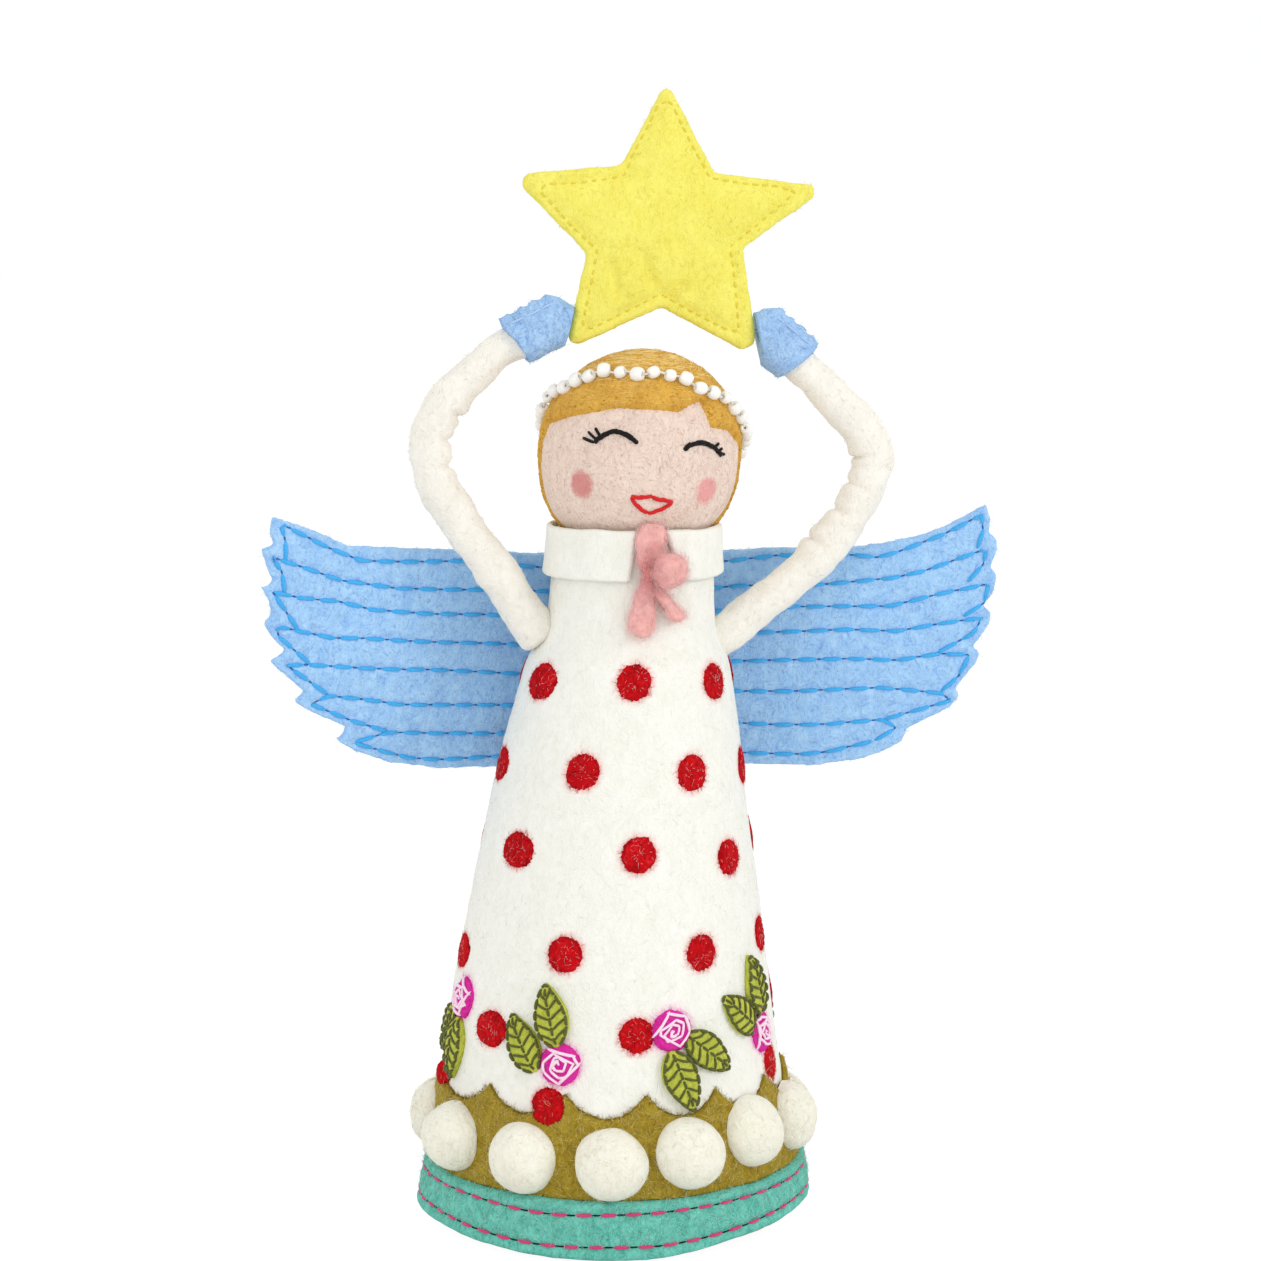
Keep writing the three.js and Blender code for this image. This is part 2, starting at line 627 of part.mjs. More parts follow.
// Bends of one arm from the shoulder to the hand
function armKnots(arm) {
  const { side, upper, elbow, bend, wrist } = arm;
  const { along, cuff } = grip(arm);
  const reach = dressRadius(SHOULDER_HEIGHT);
  const off = ([out, up]) => new THREE.Vector3(side * (reach + out), 0, SHOULDER_HEIGHT + up);
  return [
    off([-2 * DRESS_WALL, 0]),
    off([0, 0]),
    off(upper),
    off(elbow),
    off(bend),
    cuff.clone().add(new THREE.Vector3(side * wrist[0], 0, wrist[1])),
    cuff.clone().addScaledVector(along, -WRIST_RADIUS),
    cuff,
    cuff.clone().addScaledVector(along, MITT_SOCKET_DEPTH - ARM_TIP_COVER),
  ];
}

const armPath = Object.fromEntries(Object.entries(ARMS).map(([name, arm]) => {
  const curve = new THREE.CatmullRomCurve3(armKnots(arm));
  const stops = Array.from({ length: ARM_PATH_STEPS / 2 + 1 }, (_, i) => i / (ARM_PATH_STEPS / 2));
  const length = curve.getLength();
  return [name, stops.map((stop) => ({
    point: curve.getPointAt(stop),
    tangent: curve.getTangentAt(stop),
    fromShoulder: stop * length,
    fromHand: (1 - stop) * length,
  }))];
}));

function tube(path, radiusAt, sides) {
  const sideways = new THREE.Vector3(0, 1, 0);
  return loft(path.map((stop) => {
    const upward = sideways.clone().cross(stop.tangent).normalize();
    return circle(stop.point, sideways, upward, radiusAt(stop), sides);
  }));
}

// The path carried on beyond its hand end
function extended(path, distance) {
  const end = path.at(-1);
  return [...path, { ...end, point: end.point.clone().addScaledVector(end.tangent, distance), fromHand: 0 }];
}

function armRadius({ fromShoulder, fromHand }) {
  const shoulder = THREE.MathUtils.smoothstep(fromShoulder, 0, SHOULDER_TAPER);
  const wrist = THREE.MathUtils.smoothstep(fromHand, MITT_SOCKET_DEPTH + WRIST_RADIUS, WRIST_TAPER);
  return lerp(SHOULDER_RADIUS, lerp(WRIST_RADIUS, ARM_RADIUS, wrist), shoulder);
}

// Space that the dress takes up, seen from an arm that has swung by an angle about the shoulder line
function dressSpace(swing) {
  const outside = dressOutline.map(({ x, y }) => [x + PIVOT_GAP, y - SHOULDER_HEIGHT]);
  const body = solid(revolve([[0, outside[0][1]], ...outside, [0, outside.at(-1)[1]]], DRESS_STEPS));
  return body.rotate([-swing, 0, 0]).translate([0, 0, SHOULDER_HEIGHT]);
}

function arm(name) {
  const path = armPath[name];
  const wool = solid(tube(extended(path, ARM_TIP_COVER), armRadius, ARM_SIDES));
  const bore = solid(tube(extended(path, 2 * ARM_TIP_COVER), () => WIRE_RADIUS + SEWN_GAP, WIRE_SIDES));
  const swings = [-ARM_SWING_BACK, 0, ARM_SWING_FORWARD];
  return geometryOf(swings.reduce((body, swing) => body.subtract(dressSpace(swing)), wool.subtract(bore)));
}

function wire() {
  const turned = (stop) => ({ ...stop, tangent: stop.tangent.clone().negate() });
  const left = armPath.left.toReversed().map(turned);
  return tube([...left, ...armPath.right], () => WIRE_RADIUS, WIRE_SIDES);
}

// Mitt: a folded pouch with a sewn seam along its upper edge, cut off along the star's leg
function mitt(arm) {
  const { point, along, cuff } = grip(arm);
  const sideways = new THREE.Vector3(0, 1, 0);
  const upward = sideways.clone().cross(along).multiplyScalar(-arm.side).normalize();
  const mouth = WRIST_RADIUS + SEWN_GAP + MITT_WALL;
  const stations = [
    { at: 0, width: mouth, depth: mouth },
    { at: MITT_SOCKET_DEPTH, width: mouth, depth: mouth },
    { at: 0.8 * MITT_LENGTH, width: MITT_TIP_HALF_WIDTH, depth: lerp(mouth, MITT_TIP_HALF_DEPTH, 0.6) },
    { at: MITT_LENGTH + mouth, width: MITT_TIP_HALF_WIDTH, depth: MITT_TIP_HALF_DEPTH },
  ];
  const sides = 12;
  const rings = stations.map(({ at, width, depth }) => Array.from({ length: sides }, (_, i) => {
    const turn = (2 * Math.PI * i) / sides;
    const high = Math.max(0, Math.sin(turn)) ** 4;
    return cuff.clone().addScaledVector(along, at)
      .addScaledVector(sideways, depth * Math.cos(turn))
      .addScaledVector(upward, width * Math.sin(turn) + MITT_SEAM_HEIGHT * high);
  }));
  const socket = [-1, MITT_SOCKET_DEPTH + SEWN_GAP].map((at) => circle(
    cuff.clone().addScaledVector(along, at), sideways, upward, WRIST_RADIUS + SEWN_GAP, ARM_SIDES));
  const { tip, notch } = starLeg(arm.side);
  const edge = notch.clone().sub(tip);
  const away = new THREE.Vector3(edge.z, 0, -edge.x).normalize().multiplyScalar(arm.side);
  const pouch = solid(loft(rings)).subtract(solid(loft(socket)));
  return geometryOf(pouch.trimByPlane(away.toArray(), away.dot(point) + GRIP_GAP));
}

// Straight line down the back that clears the dress and the collar: radius at the foot and its slope
function wingRoot() {
  const foot = WAIST_HEIGHT + WING_ABOVE_WAIST;
  const top = foot + WING_ROOT_HEIGHT;
  const body = (height) => {
    const onCollar = height > COLLAR_FOOT - SEWN_GAP && height < COLLAR_TOP;
    return (onCollar ? collarRadius(Math.max(height, COLLAR_FOOT)) : dressRadius(height)) + SEWN_GAP;
  };
  const slope = (body(top) - body(foot)) / WING_ROOT_HEIGHT;
  let shift = 0;
  for (let rise = 0; rise <= WING_ROOT_HEIGHT; rise += 0.5) {
    shift = Math.max(shift, body(foot + rise) - body(foot) - slope * rise);
  }
  return { foot, radius: body(foot) + shift, tilt: Math.atan(-slope) };
}

// Wing outline from its root, feather tips one above the other at the outer edge
function wingOutline() {
  const top = new THREE.Vector2(WING_SPAN - TOP_TIP_INSET, WING_ROOT_HEIGHT + TOP_TIP_ABOVE_ROOT);
  const bottom = new THREE.Vector2(WING_SPAN - BOTTOM_TIP_INSET, BOTTOM_TIP_RISE);
  const tipLine = new THREE.SplineCurve([
    bottom,
    new THREE.Vector2(lerp(bottom.x, WING_SPAN, 0.72), lerp(bottom.y, top.y, 0.3)),
    new THREE.Vector2(WING_SPAN, lerp(bottom.y, top.y, 0.74)),
    top,
  ]);
  const outline = new THREE.Shape();
  outline.moveTo(0, 0);
  outline.lineTo(0.4 * bottom.x, 0);
  outline.quadraticCurveTo(0.72 * bottom.x, 0, bottom.x, bottom.y);
  for (let k = 1; k < FEATHER_COUNT; k += 1) {
    const before = tipLine.getPointAt((k - 1) / (FEATHER_COUNT - 1));
    const tip = tipLine.getPointAt(k / (FEATHER_COUNT - 1));
    outline.lineTo(before.x - FEATHER_INSET, before.y + FEATHER_STEP);
    outline.lineTo(tip.x, tip.y);
  }
  outline.quadraticCurveTo(0.86 * top.x, 0.86 * top.y, 0.6 * top.x, lerp(WING_ROOT_HEIGHT, top.y, 0.2));
  outline.lineTo(0, WING_ROOT_HEIGHT);
  return outline;
}

function wing(side) {
  const { foot, radius, tilt } = wingRoot();
  const fromBack = radians(WING_ANGLE_FROM_BACK);
  const outward = new THREE.Vector3(side * Math.cos(fromBack), -Math.sin(fromBack), 0);
  const back = new THREE.Vector3(side * Math.sin(fromBack), Math.cos(fromBack), 0);
  const up = back.clone().multiplyScalar(-Math.sin(tilt)).setZ(Math.cos(tilt));
  const normal = back.clone().multiplyScalar(Math.cos(tilt)).setZ(Math.sin(tilt));
  const sheet = new THREE.ExtrudeGeometry(wingOutline(), {
    depth: WING_THICKNESS, bevelEnabled: false, steps: 1, curveSegments: 6,
  });
  const flat = mergeVertices(sheet.deleteAttribute('normal').deleteAttribute('uv'), WELD);
  flat.applyMatrix4(new THREE.Matrix4().makeBasis(outward, up, normal));
  return facingOut(flat.translate(radius * back.x, radius * back.y, foot));
}

piece(figure, 'dress', dress(), CREAM);
piece(figure, 'cone_lining', lining(), CARD);
piece(figure, 'hem_band', hemBand(), TEAL);
piece(figure, 'hem_edge', hemEdge(), OLIVE);
BALL_ANGLES.forEach((angle, k) => {
  placeBall(piece(figure, `hem_ball_${String(k + 1).padStart(2, '0')}`, ball(), CREAM), angle);
});
SPRAYS.forEach((place, k) => piece(figure, `rose_spray_${k + 1}`, spray(place), GREEN));

const head = new THREE.Group();
head.position.set(0, 0, HEAD_HEIGHT);
figure.add(head);
piece(head, 'head', revolve(sphereProfile(HEAD_RADIUS), HEAD_STEPS), SKIN);
piece(head, 'hair', hair(), HAIR);
piece(head, 'bead_circlet', circlet(), BEAD);
piece(figure, 'collar', collar(), CREAM);
piece(figure, 'bow', bow(), PINK);

piece(figure, 'arm_wire', wire(), STEEL);
Object.entries(ARMS).forEach(([name, sizes]) => {
  piece(figure, `arm_${name}`, arm(name), CREAM);
  piece(figure, `mitt_${name}`, mitt(sizes), BLUE);
  piece(figure, `wing_${name}`, wing(sizes.side), BLUE);
});

const star = new THREE.Group();
star.position.set(STAR_OFFSET, 0, STAR_HEIGHT);
figure.add(star);
piece(star, 'star_front', starShell(1), YELLOW);
piece(star, 'star_back', starShell(-1), YELLOW);
piece(star, 'star_filling', starFilling(), FILLING);

const topper = new THREE.Group();
topper.add(figure);

export default topper;
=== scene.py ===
# Looks of the felt angel tree topper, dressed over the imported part.
# Sizes are millimetres in the upright figure; placed() leans it over and turns them into metres.
import math
import random

import bmesh
import bpy
import numpy as np
from mathutils import Matrix, Vector, noise
from mathutils.bvhtree import BVHTree


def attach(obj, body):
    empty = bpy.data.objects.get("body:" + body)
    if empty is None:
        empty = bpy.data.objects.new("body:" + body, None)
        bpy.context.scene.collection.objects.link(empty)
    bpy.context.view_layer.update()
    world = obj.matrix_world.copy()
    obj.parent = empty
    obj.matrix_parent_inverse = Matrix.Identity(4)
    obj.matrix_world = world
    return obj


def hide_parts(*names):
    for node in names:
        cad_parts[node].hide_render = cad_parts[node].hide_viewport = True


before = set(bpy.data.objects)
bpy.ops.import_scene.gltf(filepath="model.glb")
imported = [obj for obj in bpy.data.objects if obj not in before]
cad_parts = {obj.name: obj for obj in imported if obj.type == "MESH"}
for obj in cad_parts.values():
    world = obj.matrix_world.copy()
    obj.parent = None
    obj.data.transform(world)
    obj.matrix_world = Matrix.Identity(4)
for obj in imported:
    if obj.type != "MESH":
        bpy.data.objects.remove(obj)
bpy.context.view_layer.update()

MM = 0.001
FULL_TURN = 2 * math.pi
# The photograph: turned to the left of the face and tipped down, in degrees
VIEW_TURN = 10
VIEW_DROP = 7.3
CAMERA_PLACE = (-0.153625, -0.895427, 0.2557)
SENSOR_WIDTH = 36
FOCAL_LENGTH = 111.11
# Lamps: place and size in metres, power in watts
LAMPS = {"key_lamp": ((1.2, -1.0, 0.8), 0.6, 5.6), "fill_lamp": ((-1.1, -1.15, 0.5), 0.9, 3.2)}
LAMP_AIM = (0, 0, 0.14)
ROOM_LIGHT = 0.93
PAPER_WHITE = 0.86
PAPER_GLOW = 1.1

# The soft figure: it leans by a share of its height, its skirt sways between heights, its hem turns up
LEAN = 0.0316
SKIRT_SWAY = 2.0
SWAY_STARTS = (12, 48)
SWAY_ENDS = (85, 158)
HEM_CURL = {"left": 2.3, "right": 4.2}
HEM_REACH = 46
CURL_STARTS = 0.15
CURL_HEIGHT = 20
SEWN_GAP = 0.3

# Dress: outer radius and height of the felted cone
DRESS_OUTLINE = [(44.2, 0), (38.3, 50), (30.2, 100), (26, 122.5), (23.7, 132.5), (20.5, 139), (19.4, 147),
                 (18.7, 165.5)]
DRESS_WALL = 2.2
# The felt is dented no deeper than this, so that its lining stays covered where the skirt sways
DEEPEST_DENT = 0.1
RIM_HEIGHT = 163.8
HEAD_RADIUS = 23
HEAD_CENTRE = Vector((0.7, 0, 181.1))
HEAD_FULLNESS = 2.35
STAR_CENTRE = Vector((4.8, 0, 233.347))


def srgb(red, green, blue):
    """Linear colour of a screen colour from 0 to 255."""
    def linear(part):
        share = part / 255
        return share / 12.92 if share <= 0.04045 else ((share + 0.055) / 1.055) ** 2.4
    return (linear(red), linear(green), linear(blue), 1)


def smoothstep(low, high, value):
    share = min(1, max(0, (value - low) / (high - low)))
    return share * share * (3 - 2 * share)


def mix(first, second, share):
    return first + (second - first) * share


# Camera, floor and light

def stand_camera():
    """Camera of the photograph."""
    lens = bpy.data.cameras.new("camera")
    lens.sensor_width = SENSOR_WIDTH
    lens.lens = FOCAL_LENGTH
    camera = bpy.data.objects.new("camera", lens)
    camera.location = CAMERA_PLACE
    camera.rotation_euler = (math.radians(90 - VIEW_DROP), 0, math.radians(-VIEW_TURN))
    bpy.context.collection.objects.link(camera)
    bpy.context.scene.camera = camera


def add_node(tree, kind, **settings):
    node = tree.nodes.new(kind)
    for name, value in settings.items():
        setattr(node, name, value)
    return node


def calculate(tree, operation, first, second=None, clamp=False):
    node = add_node(tree, "ShaderNodeMath", operation=operation, use_clamp=clamp)
    for socket, value in zip(node.inputs, (first, second)):
        if isinstance(value, (int, float)):
            socket.default_value = value
        elif value is not None:
            tree.links.new(value, socket)
    return node.outputs[0]


def new_material(name):
    """A material, its nodes and its surface node."""
    material = bpy.data.materials.new(name)
    material.use_nodes = True
    return material, material.node_tree, material.node_tree.nodes["Principled BSDF"]


def seen_by_eye(tree):
    """Socket that is 1 for camera, mirror and glass rays."""
    path = add_node(tree, "ShaderNodeLightPath")
    total = path.outputs["Is Camera Ray"]
    for name in ("Is Glossy Ray", "Is Transmission Ray"):
        total = calculate(tree, "MAXIMUM", total, path.outputs[name])
    return total


def lay_floor():
    """White paper that stays white in the picture and takes soft shadows."""
    bm = bmesh.new()
    bmesh.ops.create_grid(bm, x_segments=1, y_segments=1, size=6)
    bmesh.ops.translate(bm, verts=bm.verts, vec=(0, 0, -0.0003))
    mesh = bpy.data.meshes.new("floor")
    bm.to_mesh(mesh)
    bm.free()
    floor = bpy.data.objects.new("floor", mesh)
    bpy.context.collection.objects.link(floor)
    paper, tree, matt = new_material("white_paper")
    matt.inputs["Base Color"].default_value = (PAPER_WHITE, PAPER_WHITE, PAPER_WHITE, 1)
    matt.inputs["Roughness"].default_value = 1
    matt.inputs["Specular IOR Level"].default_value = 0
    bright = add_node(tree, "ShaderNodeEmission")
    bright.inputs["Strength"].default_value = PAPER_GLOW
    both = add_node(tree, "ShaderNodeMixShader")
    share = calculate(tree, "MULTIPLY", seen_by_eye(tree), PAPER_WHITE)
    for socket, source in zip(both.inputs, (share, matt.outputs[0], bright.outputs[0])):
        tree.links.new(source, socket)
    tree.links.new(both.outputs[0], tree.nodes["Material Output"].inputs[0])
    mesh.materials.append(paper)


def hang_lamp(name, place, size, power):
    lamp = bpy.data.lights.new(name, "AREA")
    lamp.shape = "DISK"
    lamp.size = size
    lamp.energy = power
    lamp_object = bpy.data.objects.new(name, lamp)
    lamp_object.location = place
    way = Vector(LAMP_AIM) - Vector(place)
    lamp_object.rotation_euler = way.to_track_quat("-Z", "Y").to_euler()
    bpy.context.collection.objects.link(lamp_object)


def light_room():
    scene = bpy.context.scene
    scene.view_settings.view_transform = "Standard"
    scene.world = bpy.data.worlds.new("white_room")
    scene.world.use_nodes = True
    tree = scene.world.node_tree
    room = tree.nodes["Background"]
    room.inputs["Color"].default_value = (1, 1, 1, 1)
    strength = add_node(tree, "ShaderNodeMix")
    strength.inputs["A"].default_value = ROOM_LIGHT
    strength.inputs["B"].default_value = 1
    tree.links.new(seen_by_eye(tree), strength.inputs["Factor"])
    tree.links.new(strength.outputs["Result"], room.inputs["Strength"])
    for name, (place, size, power) in LAMPS.items():
        hang_lamp(name, place, size, power)


# Felt, wool and thread

def blended(tree, share, first, second):
    node = add_node(tree, "ShaderNodeMix", data_type="RGBA")
    for socket, value in ((node.inputs[0], share), (node.inputs[6], first), (node.inputs[7], second)):
        if isinstance(value, (int, float, tuple)):
            socket.default_value = value
        else:
            tree.links.new(value, socket)
    return node.outputs[2]


def noise_at(tree, place, scale, detail=2.0, roughness=0.5):
    node = add_node(tree, "ShaderNodeTexNoise")
    tree.links.new(place, node.inputs["Vector"])
    if isinstance(scale, (int, float)):
        node.inputs["Scale"].default_value = scale
    else:
        tree.links.new(scale, node.inputs["Scale"])
    node.inputs["Detail"].default_value = detail
    node.inputs["Roughness"].default_value = roughness
    return node


def relieve(tree, surface, height, strength, distance):
    """Bump of a surface from a height, so many metres deep."""
    bump = add_node(tree, "ShaderNodeBump")
    bump.inputs["Strength"].default_value = strength
    bump.inputs["Distance"].default_value = distance
    tree.links.new(height, bump.inputs["Height"])
    tree.links.new(bump.outputs[0], surface.inputs["Normal"])


def matted_fibres():
    """Node group: colour, roughness and height of wool whose fibres lie matted every way."""
    tree = bpy.data.node_groups.new("matted_fibres", "ShaderNodeTree")
    colour, value = "NodeSocketColor", "NodeSocketFloat"
    for name, kind in (("Light", colour), ("Dark", colour), ("Fleck", colour),
                       ("Fibres", value), ("Clouds", value), ("Flecks", value)):
        tree.interface.new_socket(name, in_out="INPUT", socket_type=kind)
    for name, kind in (("Colour", colour), ("Roughness", value), ("Height", value)):
        tree.interface.new_socket(name, in_out="OUTPUT", socket_type=kind)
    given = add_node(tree, "NodeGroupInput")
    result = add_node(tree, "NodeGroupOutput")
    place = add_node(tree, "ShaderNodeTexCoord").outputs["Object"]
    drift = noise_at(tree, place, 240).outputs["Color"]
    centred = add_node(tree, "ShaderNodeVectorMath", operation="SUBTRACT")
    centred.inputs[1].default_value = (0.5, 0.5, 0.5)
    tree.links.new(drift, centred.inputs[0])
    curl = add_node(tree, "ShaderNodeVectorMath", operation="SCALE")
    curl.inputs["Scale"].default_value = 0.006
    tree.links.new(centred.outputs[0], curl.inputs[0])
    curled = add_node(tree, "ShaderNodeVectorMath", operation="ADD")
    tree.links.new(place, curled.inputs[0])
    tree.links.new(curl.outputs[0], curled.inputs[1])
    hairs = None
    for turn in ((0.3, 0.2, 0.0), (1.3, 0.5, 0.9), (0.6, 2.0, 1.7)):
        lay = add_node(tree, "ShaderNodeMapping")
        lay.inputs["Rotation"].default_value = turn
        lay.inputs["Scale"].default_value = (1, 1, 0.14)
        tree.links.new(curled.outputs[0], lay.inputs["Vector"])
        wave = noise_at(tree, lay.outputs[0], given.outputs["Fibres"]).outputs["Fac"]
        ridge = calculate(tree, "ABSOLUTE", calculate(tree, "SUBTRACT", wave, 0.5))
        hair = calculate(tree, "SUBTRACT", 1, calculate(tree, "MULTIPLY", ridge, 11), clamp=True)
        hairs = hair if hairs is None else calculate(tree, "MAXIMUM", hairs, hair)
    cloud = noise_at(tree, place, given.outputs["Clouds"], 4, 0.65).outputs["Fac"]
    cloudy = add_node(tree, "ShaderNodeMapRange")
    cloudy.inputs["From Min"].default_value = 0.3
    cloudy.inputs["From Max"].default_value = 0.7
    tree.links.new(cloud, cloudy.inputs["Value"])
    grain = noise_at(tree, curled.outputs[0], 2600, 2).outputs["Fac"]
    tone = calculate(tree, "ADD", calculate(tree, "MULTIPLY", cloudy.outputs[0], 0.55),
                     calculate(tree, "MULTIPLY", hairs, 0.45))
    plain = blended(tree, tone, given.outputs["Dark"], given.outputs["Light"])
    speck = noise_at(tree, curled.outputs[0], 1150, 3, 0.6).outputs["Fac"]
    sparse = calculate(tree, "MULTIPLY", calculate(tree, "SUBTRACT", speck, 0.56, clamp=True), 9, clamp=True)
    spread = calculate(tree, "MULTIPLY", sparse, given.outputs["Flecks"])
    flecked = blended(tree, spread, plain, given.outputs["Fleck"])
    tree.links.new(flecked, result.inputs["Colour"])
    rough = calculate(tree, "ADD", calculate(tree, "MULTIPLY", hairs, -0.12), 0.97)
    tree.links.new(rough, result.inputs["Roughness"])
    height = calculate(tree, "ADD", calculate(tree, "MULTIPLY", hairs, 0.6),
                       calculate(tree, "MULTIPLY", grain, 0.5))
    tree.links.new(height, result.inputs["Height"])
    return tree


FIBRES = matted_fibres()


def wool(name, light, dark, fleck=None, flecks=0.0, fibres=620, clouds=170, fuzz=0.35, relief=0.5):
    """Felted wool of two close shades, with flecks of a third."""
    material, tree, surface = new_material(name)
    surface.inputs["Specular IOR Level"].default_value = 0.12
    surface.inputs["Sheen Weight"].default_value = fuzz
    surface.inputs["Sheen Roughness"].default_value = 0.6
    surface.inputs["Sheen Tint"].default_value = light
    group = add_node(tree, "ShaderNodeGroup", node_tree=FIBRES, name="wool")
    for key, value in (("Light", light), ("Dark", dark), ("Fleck", fleck or dark),
                       ("Fibres", fibres), ("Clouds", clouds), ("Flecks", flecks)):
        group.inputs[key].default_value = value
    tree.links.new(group.outputs["Colour"], surface.inputs["Base Color"])
    tree.links.new(group.outputs["Roughness"], surface.inputs["Roughness"])
    relieve(tree, surface, group.outputs["Height"], relief, 0.0006)
    return material


def cotton(name, light, dark, shine=0.25, sheen=0.2):
    """Twisted sewing thread."""
    material, tree, surface = new_material(name)
    surface.inputs["Specular IOR Level"].default_value = shine
    surface.inputs["Sheen Weight"].default_value = sheen
    place = add_node(tree, "ShaderNodeTexCoord").outputs["Object"]
    ply = noise_at(tree, place, 1900, 2).outputs["Fac"]
    tree.links.new(blended(tree, ply, dark, light), surface.inputs["Base Color"])
    rough = calculate(tree, "ADD", calculate(tree, "MULTIPLY", ply, 0.3), 0.5)
    tree.links.new(rough, surface.inputs["Roughness"])
    relieve(tree, surface, ply, 0.5, 0.0002)
    return material


def hard(name, light, dark, scale, rough_low, rough_high, metal=0.0, coat=0.0):
    """Bead glass, wire or card: two shades in soft patches."""
    material, tree, surface = new_material(name)
    surface.inputs["Metallic"].default_value = metal
    surface.inputs["Coat Weight"].default_value = coat
    place = add_node(tree, "ShaderNodeTexCoord").outputs["Object"]
    patch = noise_at(tree, place, scale, 4, 0.6).outputs["Fac"]
    tree.links.new(blended(tree, patch, dark, light), surface.inputs["Base Color"])
    rough = calculate(tree, "ADD", calculate(tree, "MULTIPLY", patch, rough_high - rough_low), rough_low)
    tree.links.new(rough, surface.inputs["Roughness"])
    relieve(tree, surface, patch, 0.15, 0.0003)
    return material


CREAM = wool("cream_felt", srgb(247, 246, 239), srgb(236, 235, 223), srgb(216, 212, 196), 0.08, relief=0.35)
DRESS_FELT = wool("dress_felt", srgb(247, 246, 239), srgb(236, 235, 223), srgb(216, 212, 196), 0.08,
                  relief=0.35)
BALL_WOOL = wool("ball_wool", srgb(247, 245, 231), srgb(234, 230, 210), srgb(218, 208, 180), 0.05, relief=0.4)
ARM_WOOL = wool("arm_wool", srgb(248, 245, 236), srgb(236, 231, 219), srgb(222, 208, 194), 0.08, relief=0.35)
TEAL = wool("teal_felt", srgb(128, 216, 198), srgb(62, 154, 138), srgb(34, 104, 92), 0.4, 900, 300)
LOOSE_TEAL = wool("loose_teal", srgb(182, 238, 226), srgb(126, 208, 193))
LOOSE_OLIVE = wool("loose_olive", srgb(230, 214, 142), srgb(198, 178, 92))
OLIVE = wool("olive_wool", srgb(180, 155, 55), srgb(126, 102, 20), srgb(86, 70, 14), 0.45, 900, 300,
             relief=0.6)
RED_WOOL = wool("dot_wool", srgb(220, 12, 24), srgb(158, 0, 6), srgb(238, 70, 76), 0.35, fuzz=0.1, relief=0.9)
LOOSE_RED = wool("loose_red", srgb(224, 44, 52), srgb(196, 14, 24), fuzz=0.1)
LEAF_FELT = wool("leaf_felt", srgb(206, 211, 86), srgb(158, 166, 54), srgb(116, 120, 40), 0.3)
ROSE_FELT = wool("rose_felt", srgb(232, 56, 172), srgb(196, 22, 134), srgb(238, 120, 196), 0.3)
HAIR_WOOL = wool("hair_wool", srgb(232, 184, 86), srgb(192, 137, 46), srgb(132, 88, 28), 0.6)
LOOSE_HAIR = wool("loose_hair", srgb(244, 208, 124), srgb(218, 172, 82))
# Paler hair for the crown's strands: painted light where the top of the hair catches the lamps
CROWN_HIGHLIGHT_HAIR = wool("crown_highlight_hair", srgb(253, 230, 164), srgb(238, 204, 126))
PINK_WOOL = wool("bow_wool", srgb(255, 206, 200), srgb(253, 180, 174), srgb(238, 150, 148), 0.3, 1100, 400,
                 relief=0.4)
LOOSE_PINK = wool("loose_pink", srgb(255, 220, 216), srgb(255, 198, 193))
BLUE_FELT = wool("blue_felt", srgb(183, 223, 255), srgb(135, 186, 244), srgb(94, 138, 206), 0.42, 900, 330,
                 relief=0.4)
LOOSE_BLUE = wool("loose_blue", srgb(198, 227, 254), srgb(152, 194, 244))
MITT_FELT = wool("mitt_felt", srgb(180, 215, 249), srgb(133, 173, 226), srgb(88, 122, 188), 0.35, 900, 330)
STAR_FELT = wool("star_felt", srgb(245, 238, 119), srgb(235, 222, 89), srgb(222, 204, 68), 0.16, relief=0.4)
FACE_FELT = wool("face_felt", srgb(243, 223, 209), srgb(225, 200, 185), srgb(176, 140, 124), 0.5, relief=0.5)


def stain(material, share, colour):
    """Mixes a colour into a felt, by a share that varies over it."""
    tree = material.node_tree
    base = tree.nodes["Principled BSDF"].inputs["Base Color"]
    tree.links.new(blended(tree, share, base.links[0].from_socket, colour), base)


def redden(material, centre, radius, colour, fade=0.0014, strength=0.92):
    """Colour mixed into the felt round a place, thinning out at its rim: rosy wool on the cheeks, painted
    shade round the bow's knot.
    """
    tree = material.node_tree
    place = add_node(tree, "ShaderNodeTexCoord").outputs["Object"]
    gap = add_node(tree, "ShaderNodeVectorMath", operation="DISTANCE")
    gap.inputs[1].default_value = centre
    tree.links.new(place, gap.inputs[0])
    rag = calculate(tree, "SUBTRACT", noise_at(tree, place, 1100, 4, 0.65).outputs["Fac"], 0.5)
    torn = calculate(tree, "ADD", gap.outputs["Value"], calculate(tree, "MULTIPLY", rag, 0.003))
    rim = add_node(tree, "ShaderNodeMapRange", interpolation_type="SMOOTHSTEP")
    rim.inputs["From Min"].default_value = radius - fade
    rim.inputs["From Max"].default_value = radius + 0.0005
    rim.inputs["To Min"].default_value = strength
    rim.inputs["To Max"].default_value = 0
    tree.links.new(torn, rim.inputs["Value"])
    stain(material, rim.outputs[0], colour)


def bleed(material, layer, colour):
    """Stray fibres of another wool round the patches felted into this one."""
    tree = material.node_tree
    halo = add_node(tree, "ShaderNodeAttribute", attribute_name=layer).outputs["Fac"]
    place = add_node(tree, "ShaderNodeTexCoord").outputs["Object"]
    strays = calculate(tree, "SUBTRACT", noise_at(tree, place, 1300, 4, 0.7).outputs["Fac"], 0.32, clamp=True)
    share = calculate(tree, "MULTIPLY", halo, calculate(tree, "MULTIPLY", strays, 3), clamp=True)
    stain(material, share, colour)
